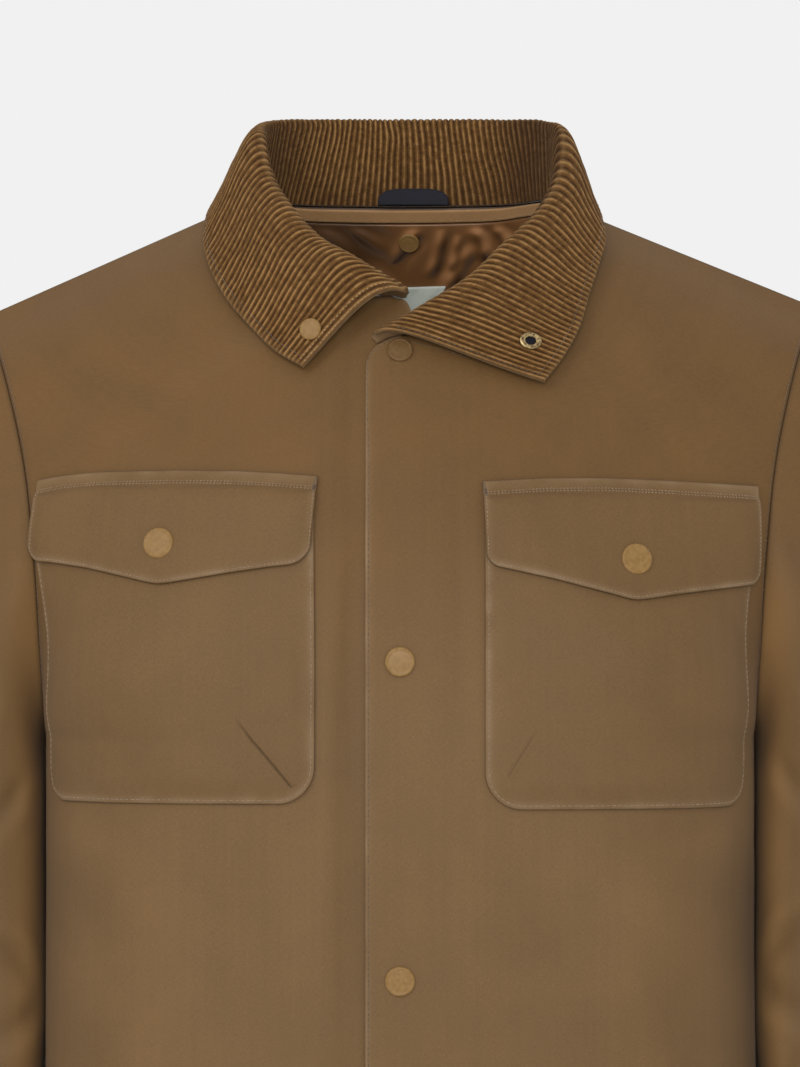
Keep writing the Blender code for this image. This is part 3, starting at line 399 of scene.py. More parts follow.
def front_base(side):
    """A front's outer points at x > 0, with the strip past the centre first."""
    shares = np.linspace(0.0, 1.0, FRONT_COLUMNS + 1)
    pasts = (LAP_PAST if side == "left" else UNDER_PAST) * np.linspace(1.0, 0.0, STRIP + 1)[:-1]
    rows = []
    for up in levels():
        main = panel_row(side, False, shares, up)
        source = panel_row(side, False, np.linspace(0.0, 0.16, 9), min(up, NECK_SHARE))
        strip = np.column_stack([-pasts, between(pasts, source[:, 0], source[:, 1:])])
        rows.append(np.concatenate([strip, main]))
    grid = np.array(rows)
    if side == "left":
        t = np.clip((pasts - LAP_PAST + LAP_CORNER[0]) / LAP_CORNER[0], 0.0, 1.0)
        cut = LAP_CORNER[1] * (1.0 - (1.0 - t**1.7) ** 0.6)
    else:
        cut = UNDER_CUT * np.clip((pasts - 0.003) / 0.015, 0.0, 1.0)
    spacing = grid[NECK_ROW, 0, 2] - grid[NECK_ROW - 1, 0, 2]
    number = np.repeat(np.arange(len(grid), dtype=float)[:, None], grid.shape[1], axis=1)
    near = ease((number[:, :STRIP] - (NECK_ROW - 6.0)) / 6.0)
    number[:, :STRIP] -= near * cut / spacing
    grid = cubic_rows(grid, number)
    if side == "right":
        behind = 1.0 - ease((grid[..., 0] - UNDER_STEP[0]) / (UNDER_STEP[1] - UNDER_STEP[0]))
        grid[..., 1] += SET_BACK * behind
    return grid


def back_base():
    shares = np.linspace(0.0, 1.0, BACK_COLUMNS + 1)
    rows = []
    for up in levels():
        right = panel_row("right", True, shares[::-1], up)[:-1] * MIRROR
        rows.append(np.concatenate([right, panel_row("left", True, shares, up)]))
    return np.array(rows)


CAP_ROWS = 16
ARM_STEPS = 40


def sleeve_base(side):
    """A sleeve's rows from the armhole down, and its columns round it from the shoulder by the front."""
    turns = np.arange(2 * ARM_ROWS) / (2.0 * ARM_ROWS)
    angle = 2.0 * math.pi * turns

    def ring(share):
        x, y, z, half_width, half_depth = read(SLEEVE, share)
        outward, forward = np.cos(angle), np.sin(angle)
        full = SLEEVE_FULL * (1.0 - ease((share - 0.45) / 0.4)) * ((outward < 0.0) & (forward > 0.0))
        power = 2.0 / (SLEEVE_ROUND + full)
        outward = np.sign(outward) * np.abs(outward) ** power
        forward = np.sign(forward) * np.abs(forward) ** power
        return np.stack([x + half_width * outward, y - half_depth * forward, np.full(len(angle), z)], -1)

    start = np.array([
        armhole(side, turn > 0.5, 2.0 * turn - 1.0 if turn > 0.5 else 1.0 - 2.0 * turn) for turn in turns
    ])
    end = ring(0.0)
    top = ((1.0 + np.cos(angle)) / 2.0)[:, None]
    flank = np.sin(angle)
    flat = np.full(len(turns), 0.030)
    leave = top * np.array([0.105, 0.0, -0.045]) + (1.0 - top) * np.array([0.007, 0.0, -0.028])
    leave = leave + np.abs(flank)[:, None] * np.stack([flat, -0.020 * np.sign(flank), -flat], -1)
    reach = np.linalg.norm(end - start, axis=1)
    arrive = np.stack([0.0 * reach, 0.0 * reach, -0.9 * reach], -1)
    rows = [hermite(start, leave, end, arrive, i / CAP_ROWS) for i in range(CAP_ROWS)]
    rows += [ring(i / ARM_STEPS) for i in range(ARM_STEPS + 1)]
    return np.array(rows)


# ---------------------------------------------------------------- meshes


def quads(rows, columns, closed=False):
    """Each cell of a grid, by the numbers of its four corners."""
    wide = columns if closed else columns - 1
    i, j = np.meshgrid(np.arange(rows - 1), np.arange(wide), indexing="ij")
    right = (j + 1) % columns
    upper, lower = i * columns, (i + 1) * columns
    return np.stack([upper + j, upper + right, lower + right, lower + j], -1)


def open_cells(grid):
    return quads(*grid.shape[:2]).reshape(-1, 4)


def doubled_areas(points, cells):
    """Each cell's normal, as long as twice its area."""
    corner = points[cells]
    return np.cross(corner[:, 2] - corner[:, 0], corner[:, 3] - corner[:, 1])


def surface_area(grid, cells):
    return float(np.linalg.norm(doubled_areas(grid.reshape(-1, 3), cells), axis=1).sum() / 2)


def facing_out(cells, points, normals):
    """Cells turned so that they face along the normals."""
    away = np.sum(doubled_areas(points, cells) * normals[cells[:, 0]]) < 0.0
    return cells[:, ::-1] if away else cells


def normals_of(grid, closed=False):
    if closed:
        across = (np.roll(grid, -1, axis=1) - np.roll(grid, 1, axis=1)) / 2.0
    else:
        across = np.gradient(grid, axis=1)
    return unit(np.cross(np.gradient(grid, axis=0), across))


def turned_to(normals, directions):
    """The normals, all turned round where together they point against these directions."""
    return normals if np.sum(normals * directions) > 0.0 else -normals


def rim_edges(cells):
    """Edges that only one cell has."""
    ends = np.concatenate([cells[:, [k, (k + 1) % 4]] for k in range(4)])
    key = np.sort(ends, axis=1)
    _, first, count = np.unique(key, axis=0, return_index=True, return_counts=True)
    return ends[first[count == 1]]


def tree_of(points, numbers):
    tree = KDTree(len(points))
    for number, point in zip(numbers, points):
        tree.insert(point, int(number))
    tree.balance()
    return tree


def rim_distance(points, cells):
    """How far each point lies from the nearest open edge, and the number of the point nearest there."""
    edges = rim_edges(cells)
    samples, owner = [], []
    for a, b in edges:
        count = int(np.linalg.norm(points[b] - points[a]) / RIM_STEP) + 1
        for k in range(count):
            samples.append(points[a] + (points[b] - points[a]) * (k / count))
            owner.append(a if k * 2 < count else b)
    tree = tree_of(samples, range(len(samples)))
    distance, nearest = np.empty(len(points)), np.empty(len(points), int)
    for number, point in enumerate(points):
        _, found, away = tree.find(point)
        distance[number], nearest[number] = away, owner[found]
    distance[np.unique(edges)] = 0.0
    return distance, nearest


def as_lists(points, normals):
    """An open grid's cells, its points and normals as lists, and each point's distance from the rim."""
    cells, flat = open_cells(points), points.reshape(-1, 3)
    return cells, flat, normals.reshape(-1, 3), rim_distance(flat, cells)[0]


def rounded(distance, radius=EDGE_ROUND):
    """Share of a wall's half that is left this near its rounded edge."""
    return np.sqrt(np.maximum(1.0 - (1.0 - np.clip(distance / radius, 0.0, 1.0)) ** 2, 0.0))


def add_mesh(name, points, faces, materials, uv=None, face_slots=None, values=(), sharp=None):
    mesh = bpy.data.meshes.new(name)
    mesh.from_pydata(np.asarray(points).tolist(), [], [list(map(int, face)) for face in faces])
    for each in materials:
        mesh.materials.append(each)
    if face_slots is not None:
        mesh.polygons.foreach_set("material_index", np.asarray(face_slots, np.int32))
    if uv is not None:
        corners = np.empty(len(mesh.loops), np.int32)
        mesh.loops.foreach_get("vertex_index", corners)
        layer = mesh.uv_layers.new(name="cloth")
        layer.data.foreach_set("uv", np.asarray(uv, np.float32)[corners].reshape(-1))
    for key, value in values:
        layer = mesh.attributes.new(key, "FLOAT", "POINT")
        layer.data.foreach_set("value", np.asarray(value, np.float32))
    mesh.shade_smooth()
    if sharp is not None:
        mesh.set_sharp_from_angle(angle=math.radians(sharp))
    made = bpy.data.objects.new(name, mesh)
    bpy.context.scene.collection.objects.link(made)
    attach(made, "root")
    return made


def add_shell(name, middle, normals, half, cells, materials, uv, values):
    """Two faces a wall apart that meet at the rim, where half is 0."""
    count = len(middle)
    inner_of = np.where(half > 1e-7, np.arange(count) + count, np.arange(count))
    lift = normals * half[:, None]
    points = np.concatenate([middle + lift, middle - lift])
    faces = np.concatenate([cells, inner_of[cells][:, ::-1]])
    used = np.unique(faces)
    place = np.zeros(len(points), int)
    place[used] = np.arange(len(used))
    slots = np.repeat([0, 1], len(cells)) if len(materials) > 1 else None
    both = [(key, np.concatenate([value, value])[used]) for key, value in values]
    uv = np.concatenate([uv, uv])[used]
    return add_mesh(name, points[used], place[faces], materials, uv, slots, both)


def dress(made, node):
    """Hides the model's node that a piece stands in for, and hands the piece back."""
    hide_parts(node)
    return made


# ---------------------------------------------------------------- materials


class Paint:
    """A node material, built a node at a time."""

    def __init__(self, name):
        self.made = bpy.data.materials.new(name)
        self.made.use_nodes = True
        self.tree = self.made.node_tree
        self.shader = self.tree.nodes["Principled BSDF"]

    def put(self, socket, value):
        if isinstance(value, bpy.types.NodeSocket):
            self.tree.links.new(value, socket)
        else:
            socket.default_value = value

    def add(self, kind, settings=(), **inputs):
        node = self.tree.nodes.new(kind)
        for key, value in dict(settings).items():
            setattr(node, key, value)
        for key, value in inputs.items():
            self.put(node.inputs[key], value)
        return node

    def math(self, operation, a, b=0.0, c=0.0):
        node = self.add("ShaderNodeMath", {"operation": operation})
        for socket, value in zip(node.inputs, (a, b, c)):
            self.put(socket, value)
        return node.outputs[0]

    def vary(self, tone, value, amount):
        """The tone, taken down or up by half the amount as the value goes from 0 to 1."""
        return self.math("ADD", tone, self.math("MULTIPLY_ADD", value, amount, -amount / 2.0))

    def scaled(self, vector, share):
        node = self.add("ShaderNodeVectorMath", {"operation": "SCALE"})
        self.put(node.inputs[0], vector)
        self.put(node.inputs["Scale"], share)
        return node.outputs[0]

    def where(self, kind):
        return self.add("ShaderNodeTexCoord").outputs[kind]

    def uv(self, across, down):
        """Cloth coordinates, in features to the metre."""
        node = self.add("ShaderNodeVectorMath", {"operation": "MULTIPLY"})
        self.put(node.inputs[0], self.where("UV"))
        self.put(node.inputs[1], (across, down, 1.0))
        return node.outputs[0]

    def place(self, scale):
        return self.scaled(self.where("Object"), scale)

    def spot(self, axis):
        """Where a point lies along x, 0, y, 1, or z, 2, in metres."""
        return self.add("ShaderNodeSeparateXYZ", Vector=self.where("Object")).outputs[axis]

    def noise(self, vector, detail=2.0, roughness=0.5):
        inputs = {"Vector": vector, "Scale": 1.0, "Detail": detail, "Roughness": roughness}
        return self.add("ShaderNodeTexNoise", **inputs).outputs["Fac"]

    def value(self, name):
        return self.add("ShaderNodeAttribute", {"attribute_name": name}).outputs["Fac"]

    def ramp(self, value, *stops):
        node = self.add("ShaderNodeValToRGB")
        elements = node.color_ramp.elements
        while len(elements) < len(stops):
            elements.new(0.5)
        for element, (at, colour) in zip(elements, stops):
            element.position = at
            element.color = (*colour, 1.0)
        self.put(node.inputs[0], value)
        return node.outputs[0]

    def mix(self, share, a, b, blend="MIX"):
        node = self.add("ShaderNodeMix", {"data_type": "RGBA", "blend_type": blend})
        self.put(node.inputs[0], share)
        self.put(node.inputs[6], a)
        self.put(node.inputs[7], b)
        return node.outputs[2]

    def finish(self, height=None, distance=0.0001, strength=1.0, **inputs):
        for key, value in inputs.items():
            self.put(self.shader.inputs[key.replace("_", " ")], value)
        if height is not None:
            bump = self.add("ShaderNodeBump", Height=height, Distance=distance, Strength=strength)
            self.put(self.shader.inputs["Normal"], bump.outputs[0])
        return self.made


def rgb(*colour):
    return (*colour, 1.0)


def times(colour, share):
    return tuple(share * each for each in colour)


WORN = (0.235, 0.160, 0.092)
# the near-black brown that the shade value mixes in: painted shade, and the dark beside seams
SHADE_BROWN = (0.026, 0.013, 0.005)
CHEST = (-0.30, -0.15)  # heights between which the wax turns to its upper colour


def cotton(name, lower, upper, worn=WORN, grain=1.0):
    """Waxed cotton: a close weave, uneven wax that is redder up the chest, pale rubbed edges, and painted
    shade and light toward +x and where its fade and shade values say.
    """
    paint = Paint(name)
    warp, weft = (paint.noise(paint.uv(*scale), 1.0) for scale in ((2300.0, 500.0), (500.0, 2300.0)))
    threads = paint.math("ADD", warp, weft)
    cloud = paint.noise(paint.place(26.0), 4.0, 0.62)
    broad = paint.noise(paint.place(6.0), 2.0)
    streak = paint.noise(paint.uv(260.0, 7.0), 2.0)
    tone = paint.math("MULTIPLY_ADD", threads, 0.30 * grain, 1.0 - 0.30 * grain)
    for value, amount in ((cloud, 0.30), (broad, 0.22), (streak, 0.10)):
        tone = paint.vary(tone, value, amount)
    # painted shade: the cloth darkens toward +x, the side away from the key light
    tone = paint.math("SUBTRACT", tone, paint.math("MULTIPLY", paint.spot(0), 0.14))
    # the fade value is painted light and shade: shade toward the fronts' side seams, light on the
    # sleeves' inner sides, highlight and shade on the creases
    tone = paint.math("ADD", tone, paint.value("fade"))
    high = paint.add("ShaderNodeMapRange", {"interpolation_type": "SMOOTHSTEP"})
    for key, value in zip(("Value", "From Min", "From Max"), (paint.spot(2), *CHEST)):
        paint.put(high.inputs[key], value)
    colour = paint.scaled(paint.mix(high.outputs[0], rgb(*lower), rgb(*upper)), tone)
    rub = paint.math("MULTIPLY", paint.value("wear"), paint.math("MULTIPLY_ADD", cloud, 1.5, 0.05))
    colour = paint.mix(paint.math("MINIMUM", rub, 0.85), colour, rgb(*worn))
    # the shade value mixes in painted shade along the rims of pockets and flaps, under the flaps' top
    # edges and along the darts, and the dark beside seams
    colour = paint.mix(paint.math("MINIMUM", paint.value("shade"), 0.9), colour, rgb(*SHADE_BROWN))
    rough = paint.math("MULTIPLY_ADD", cloud, 0.20, 0.52)
    return paint.finish(threads, 0.00008, 0.35, Base_Color=colour, Roughness=rough, Sheen_Weight=0.03,
                        Sheen_Roughness=0.5, Specular_IOR_Level=0.17)


def corduroy(name):
    """Cut pile: a mid-brown ground with valleys darkened as painted shade, crests with a pale line of
    rubbed pile and painted highlight, painted shade where the shade value says, and nap that breaks up
    each wale.
    """
    paint = Paint(name)
    nap = paint.noise(paint.uv(1500.0, 900.0), 3.0, 0.7)
    dashes = paint.noise(paint.uv(330.0, 300.0), 3.0, 0.6)
    cloud = paint.noise(paint.place(40.0), 3.0)
    lift = 0.0
    for value, amount in ((nap, 0.62), (dashes, 0.90), (cloud, 0.24)):
        lift = paint.vary(lift, value, amount)
    pile = paint.math("ADD", paint.value("pile"), lift)
    # from valley to crest: painted shade in the valleys, and rubbed pile with a painted highlight along
    # the crests
    colour = paint.ramp(pile, (0.0, (0.040, 0.017, 0.005)), (0.18, (0.080, 0.037, 0.0105)),
                        (0.74, (0.106, 0.051, 0.0150)), (1.0, (0.225, 0.122, 0.044)))
    rim = paint.math("MULTIPLY", paint.value("wear"), 0.45)
    colour = paint.mix(rim, colour, rgb(0.19, 0.115, 0.052))
    colour = paint.mix(paint.value("shade"), colour, rgb(0.018, 0.007, 0.003))
    return paint.finish(nap, 0.00020, 0.6, Base_Color=colour, Roughness=0.9, Sheen_Weight=0.10,
                        Sheen_Roughness=0.35, Sheen_Tint=rgb(1.0, 0.72, 0.42), Specular_IOR_Level=0.10)


def satin(name, base, rough, anisotropic):
    """Smooth cloth, with painted highlight where a fold turns to the light and painted shade where it
    turns away, as its values say.
    """
    paint = Paint(name)
    threads = paint.noise(paint.uv(160.0, 2600.0), 2.0)
    tone = paint.math("MULTIPLY_ADD", paint.noise(paint.place(30.0), 3.0), 0.7, 0.15)
    colour = paint.ramp(tone, (0.2, times(base, 0.62)), (0.5, base), (0.85, times(base, 1.35)))
    # painted highlight where a fold turns to the light, and painted shade where it turns away
    painted_highlight = (min(2.1 * each + 0.02, 0.9) for each in base)
    colour = paint.mix(paint.value("wear"), colour, rgb(*painted_highlight))
    colour = paint.mix(paint.value("shade"), colour, rgb(*times(base, 0.22)))
    return paint.finish(threads, 0.00005, 0.6, Base_Color=colour, Roughness=rough,
                        Anisotropic=anisotropic, Sheen_Weight=0.05, Sheen_Roughness=0.3,
                        Specular_IOR_Level=0.6)


def twill(name, base, pale, scale=1500.0):
    """Diagonal ribs of a twill, with thread noise, and painted shade where the shade value says."""
    paint = Paint(name)
    ribs = paint.add("ShaderNodeTexWave", {"bands_direction": "DIAGONAL"}, Vector=paint.uv(scale, scale),
                     Scale=0.31, Distortion=1.2, Detail=1.0).outputs["Fac"]
    threads = paint.noise(paint.uv(2200.0, 900.0), 2.0)
    tone = paint.math("MULTIPLY_ADD", threads, 0.5, paint.math("MULTIPLY", ribs, 0.5))
    colour = paint.ramp(tone, (0.15, base), (0.85, pale))
    # painted shade, as the painted shadow on the label toward the wearer's right
    colour = paint.mix(paint.value("shade"), colour, rgb(*times(base, 0.2)))
    return paint.finish(tone, 0.00012, 0.7, Base_Color=colour, Roughness=0.72, Sheen_Weight=0.02,
                        Specular_IOR_Level=0.25)


def enamel(name, base, dark):
    """Dull enamel over metal, a little uneven and rubbed."""
    paint = Paint(name)
    cloud = paint.noise(paint.place(420.0), 4.0, 0.6)
    grain = paint.noise(paint.place(4200.0), 2.0)
    colour = paint.ramp(cloud, (0.30, dark), (0.62, base))
    rough = paint.math("MULTIPLY_ADD", cloud, 0.25, 0.24)
    return paint.finish(grain, 0.00003, 0.5, Base_Color=colour, Roughness=rough, Coat_Weight=0.02,
                        Coat_Roughness=0.2, Specular_IOR_Level=0.14)


def metal(name, base, dark):
    paint = Paint(name)
    cloud = paint.noise(paint.place(700.0), 3.0, 0.6)
    colour = paint.ramp(cloud, (0.35, dark), (0.60, base))
    rough = paint.math("MULTIPLY_ADD", cloud, 0.30, 0.20)
    return paint.finish(cloud, 0.00002, 0.4, Base_Color=colour, Roughness=rough, Metallic=0.9)


def thread(name, base, pale):
    paint = Paint(name)
    twist = paint.noise(paint.place(2600.0), 2.0)
    patch = paint.noise(paint.place(160.0), 2.0)
    tone = paint.math("MULTIPLY_ADD", twist, 0.5, paint.math("MULTIPLY", patch, 0.5))
    colour = paint.ramp(tone, (0.35, base), (0.65, pale))
    return paint.finish(twist, 0.00005, 0.6, Base_Color=colour, Roughness=0.6, Sheen_Weight=0.2)


COTTON = cotton("waxed_cotton_face", (0.1300, 0.0732, 0.0288), (0.1165, 0.0598, 0.0187))
COTTON_RUBBED = cotton("waxed_cotton_worn", (0.1205, 0.0676, 0.0262), (0.1225, 0.0672, 0.0246), grain=1.1)
UNDER_CLOTH = cotton("waxed_cotton_under", *[(0.1120, 0.0630, 0.0265)] * 2)
# painted light: the shell's waxed cotton made far paler, standing in for light that the inside of the
# neck lacks
FACING_CLOTH = cotton("waxed_cotton_facing", *[(0.320, 0.178, 0.077)] * 2, worn=(0.50, 0.33, 0.18))
CORD = corduroy("corduroy_pile")
INSIDE = satin("lining_twill", (0.085, 0.042, 0.017), 0.55, 0.0)
SATIN = satin("bronze_satin", (0.158, 0.069, 0.0225), 0.36, 0.4)
NAVY = twill("navy_twill_weave", (0.0016, 0.0016, 0.0034), (0.0085, 0.0090, 0.0170))
LABEL = twill("label_weave", (0.420, 0.450, 0.390), (0.560, 0.590, 0.520), 2600.0)
ENAMEL = enamel("tan_enamel", (0.222, 0.128, 0.044), (0.175, 0.095, 0.030))
CLOTH_ENAMEL = enamel("brown_enamel", (0.128, 0.070, 0.026), (0.105, 0.056, 0.020))
BRASS = metal("brass_ring", (0.42, 0.31, 0.15), (0.14, 0.09, 0.04))
# painted shade: near black for the floor of the socket's hole, where only shade falls; its prongs take
# the same dark paint
HOLE_SHADE = enamel("dark_hole", (0.004, 0.004, 0.008), (0.002, 0.002, 0.004))
THREAD_PALE = thread("thread_tan", (0.130, 0.080, 0.038), (0.250, 0.172, 0.100))
THREAD_CLOTH = thread("thread_brown", (0.050, 0.027, 0.011), (0.120, 0.072, 0.032))
THREAD_PILE = thread("thread_pile", (0.035, 0.016, 0.005), (0.090, 0.046, 0.016))
THREAD_CORD = thread("thread_gold", (0.190, 0.105, 0.036), (0.340, 0.215, 0.097))

# ---------------------------------------------------------------- creases

PIXEL = 0.00053  # metres to a pixel of the picture at the front of the chest
MIDDLE = (400.0, 533.5)  # the picture's middle, in pixels
EYE_HEIGHT = -0.187  # height that the picture's middle shows


def at_pixel(x, y):
    return ((x - MIDDLE[0]) * PIXEL, EYE_HEIGHT + (MIDDLE[1] - y) * PIXEL)


def seen(x0, y0, x1, y1, bend, depth, width):
    """A crease by where it starts and ends in the picture; bend, depth and width in millimetres."""
    return (*at_pixel(x0, y0), *at_pixel(x1, y1), bend, depth, width)


# Creases: both ends across and up in metres, then in millimetres how far it bows, its height, below 0 for
# a trough, and its width.
FRONT_MARKS = {
    "right": (
        seen(110, 372, 190, 448, 3.0, -0.9, 13.0),
        seen(20, 330, 120, 398, -3.0, -0.7, 11.0),
        seen(60, 430, 200, 462, 2.0, 0.6, 14.0),
        seen(250, 400, 330, 470, 4.0, 0.5, 16.0),
        seen(352, 540, 350, 985, 1.0, -1.0, 8.5),
        seen(333, 360, 338, 560, -2.0, -0.6, 12.0),
        seen(322, 800, 300, 1060, -4.0, 0.8, 15.0),
        seen(60, 830, 120, 1000, 4.0, -0.9, 16.0),
        seen(150, 840, 190, 1067, -3.0, 0.8, 18.0),
        (-0.060, -0.480, -0.075, -0.725, 4.0, -1.8, 18.0),
        (-0.120, -0.500, -0.110, -0.730, -3.0, 1.6, 20.0),
        (-0.165, -0.400, -0.172, -0.640, 4.0, -1.5, 16.0),
        (-0.182, -0.310, -0.150, -0.350, 2.0, -0.7, 9.0),
        (-0.186, -0.330, -0.160, -0.390, 3.0, 0.5, 9.0),
        (-0.030, -0.560, -0.034, -0.728, 2.0, 1.0, 14.0),
    ),
    "left": (
        seen(455, 470, 452, 800, 1.0, -0.7, 6.5),
        seen(440, 820, 446, 1010, -2.0, -0.5, 7.0),
        seen(373, 612, 399, 640, 1.0, -0.38, 2.6),
        seen(375, 655, 402, 690, 1.0, -0.42, 2.8),
        seen(373, 702, 394, 722, -1.0, -0.32, 2.4),
        seen(372, 958, 392, 975, 1.0, -0.30, 2.6),
        seen(391, 352, 394, 372, 0.5, -0.45, 1.7),
        seen(412, 350, 421, 364, 0.5, -0.40, 1.7),
        seen(600, 395, 690, 446, -3.0, -0.7, 14.0),
        seen(690, 350, 790, 430, 4.0, -0.7, 12.0),
        seen(470, 400, 540, 460, -4.0, 0.5, 15.0),
        seen(500, 830, 560, 1000, -4.0, -0.9, 17.0),
        seen(640, 835, 610, 1067, 4.0, 0.9, 18.0),
        seen(700, 830, 735, 1000, 3.0, -0.8, 13.0),
        (0.055, -0.490, 0.070, -0.728, -4.0, 1.6, 18.0),
        (0.105, -0.470, 0.118, -0.728, 4.0, -1.8, 19.0),
        (0.160, -0.400, 0.170, -0.660, -4.0, -1.5, 16.0),
        (0.183, -0.305, 0.148, -0.352, 2.0, -0.7, 9.0),
        (0.187, -0.335, 0.155, -0.400, -3.0, 0.5, 9.0),
    ),
}
BACK_MARKS = (
    (-0.150, -0.115, -0.060, -0.160, 6.0, -1.7, 11.5),
    (0.150, -0.110, 0.055, -0.170, -6.0, -1.7, 11.5),
    (-0.170, -0.190, -0.110, -0.330, -6.0, -2.8, 10.8),
    (0.172, -0.200, 0.120, -0.340, 6.0, -2.8, 10.8),
    (-0.180, -0.300, -0.120, -0.385, 4.0, 2.5, 9.4),
    (0.180, -0.290, 0.130, -0.400, -4.0, 2.3, 9.4),
    (-0.020, -0.060, -0.035, -0.300, 5.0, -1.2, 15.8),
    (0.050, -0.180, 0.040, -0.520, -5.0, 1.9, 17.3),
    (-0.075, -0.330, -0.090, -0.728, 6.0, -3.1, 14.4),
    (-0.010, -0.420, -0.015, -0.728, -4.0, 2.5, 15.8),
    (0.085, -0.380, 0.075, -0.728, 5.0, -3.1, 15.1),
    (0.145, -0.400, 0.155, -0.700, -4.0, 2.8, 12.2),
    (-0.150, -0.430, -0.140, -0.728, 4.0, 2.6, 13.0),
    (0.035, -0.560, 0.030, -0.728, 2.0, -1.7, 10.1),
)
SLEEVE_TURN = 0.365  # metres taken as one turn of a sleeve in its marks, which are (round, height)
SLEEVE_MARKS = (
    (0.060, -0.115, 0.100, -0.235, 5.0, -1.1, 11.0),
    (0.020, -0.150, 0.030, -0.330, -5.0, 1.0, 13.6),
    (0.115, -0.250, 0.050, -0.300, 5.0, -1.8, 8.5),
    (0.150, -0.305, 0.085, -0.352, -4.0, -1.6, 7.6),
    (0.065, -0.395, 0.160, -0.420, 6.0, -2.3, 7.6),
    (0.170, -0.435, 0.080, -0.462, -6.0, -2.5, 8.1),
    (0.060, -0.452, 0.125, -0.492, 5.0, 1.8, 7.6),
    (0.185, -0.480, 0.110, -0.515, 5.0, -2.2, 7.6),
    (0.030, -0.520, 0.095, -0.575, -5.0, -1.9, 10.2),
    (0.140, -0.560, 0.075, -0.640, 5.0, 1.6, 11.0),
    (0.240, -0.170, 0.290, -0.300, -6.0, -1.8, 12.0),
    (0.230, -0.330, 0.300, -0.370, 5.0, -2.4, 8.8),
    (0.225, -0.440, 0.310, -0.455, -5.0, -3.0, 8.0),
    (0.300, -0.480, 0.230, -0.520, 5.0, -2.7, 8.0),
    (0.260, -0.540, 0.280, -0.650, 5.0, -2.1, 11.2),
    (0.335, -0.250, 0.345, -0.430, 4.0, 1.8, 12.8),
    (0.340, -0.480, 0.330, -0.630, -4.0, -1.8, 12.0),
)


CREASE_ENDS = 0.35  # share of a crease's length over which it fades in and out
SIDE_WAVE = 0.42  # strength of the opposite wave beside a crease
SIDE_OFF = 1.7  # how many widths off it lies


def relief(place, marks):
    """How far creases raise or sink the cloth at places given across and up."""
    total = np.zeros(place.shape[:-1])
    for x0, z0, x1, z1, bend, depth, width in marks:
        start, step = np.array([x0, z0]), np.array([x1 - x0, z1 - z0])
        reach = np.linalg.norm(step)
        side = np.array([-step[1], step[0]]) / reach
        share = np.clip((place - start) @ step / reach**2, 0.0, 1.0)
        bowed = side * (0.004 * bend * share * (1.0 - share))[..., None]
        away = place - (start + share[..., None] * step + bowed)
        off = np.linalg.norm(away, axis=-1) / (0.001 * width)
        signed = (away @ side) / (0.001 * width)
        fade = ease(share / CREASE_ENDS) * ease((1.0 - share) / CREASE_ENDS)
        uneven = 1.0 + 0.3 * np.sin(7.0 * share + 40.0 * x0)
        beside = np.exp(-((signed - SIDE_OFF) ** 2) - (off - np.abs(signed)) ** 2)
        total += 0.001 * depth * fade * uneven * (np.exp(-(off**2)) - SIDE_WAVE * beside)
    return total


# ---------------------------------------------------------------- body panels

NEAR_ROWS = (0.0, 0.03, 0.08, 0.17, 0.36)  # the closer rows and columns at an edge
NEAR_STRIP = (0.0, 0.08, 0.20, 0.42, 0.75, 1.1)
NEAR_CUFF = (0.0, 0.03, 0.08, 0.17, 0.30)
SEAM_REACH = 0.003  # rims this near to each other belong to one seam
SEAM_BLEND = 0.014  # how far from a seam the panels' normals differ again
CREASE_EDGE = 0.016  # how far from a seam creases have their full depth


class Panel:
    """One piece of the body as an even grid, before and after its creases."""

    def __init__(self, name, base, rows, columns, closed=False, strip=False, mirror=False):
        self.name = name
        if closed:
            base, columns = np.concatenate([base[:, -2:], base, base[:, :3]], axis=1), columns + 2.0
        self.grid = cubic_columns(cubic_rows(base, rows), columns) * (MIRROR if mirror else 1.0)
        cells = quads(*self.grid.shape[:2], closed)
        kept = np.ones(cells.shape[:2], bool)
        if strip:
            above, beyond = rows[:-1] >= NECK_ROW - 1e-6, columns[1:] <= STRIP + 1e-6
            kept = ~(above[:, None] & beyond[None, :])
        self.cells = cells[kept]
        if closed:
            outward = self.grid - self.grid.mean(axis=1, keepdims=True)
        else:
            outward = self.grid * np.array([1.0, 1.0, 0.0])
        self.normals = turned_to(normals_of(self.grid, closed), outward)
        self.flat = self.grid.reshape(-1, 3)
        self.away, self.nearest = rim_distance(self.flat, self.cells)

    def smooth_rims(self, panels):
        """Turns the normals near a rim to the mean of the panels that meet there."""
        shared = self.normals.reshape(-1, 3).copy()
        rim = np.unique(rim_edges(self.cells))
        for other in panels:
            if other is self:
                continue
            theirs = np.unique(rim_edges(other.cells))
            tree = tree_of(other.flat[theirs], theirs)
            for number in rim:
                _, found, away = tree.find(self.flat[number])
                if away < SEAM_REACH:
                    shared[number] += other.normals.reshape(-1, 3)[found]
        self.shared = unit(shared)[self.nearest]

    def settle(self, marks, place, wobble, seed):
        """The middle of the wall, with creases and a slow unevenness that fade out at the seams."""
        blend = ease(self.away / SEAM_BLEND)[:, None]
        full = ease(self.away / CREASE_EDGE)
        self.out = unit(self.shared * (1.0 - blend) + self.normals.reshape(-1, 3) * blend)
        sink = relief(place.reshape(-1, 2), marks)
        self.folds = sink * full
        slow = noise(self.flat, 0.055, seed) + 0.5 * noise(self.flat, 0.024, seed + 1)
        self.middle = self.flat + self.out * ((sink + wobble * slow) * full - WALL / 2.0)[:, None]
        self.half = WALL / 2.0 * rounded(self.away)
        lift = self.out * self.half[:, None]
        self.outer = (self.middle + lift).reshape(self.grid.shape)
        self.inner = (self.middle - lift).reshape(self.grid.shape)


def run_of(grid, origin):
    """Distance along each row from the column numbered origin."""
    step = np.linalg.norm(np.diff(grid, axis=1), axis=2)
    run = np.concatenate([np.zeros((len(grid), 1)), np.cumsum(step, axis=1)], axis=1)
    return run - run[:, origin : origin + 1]


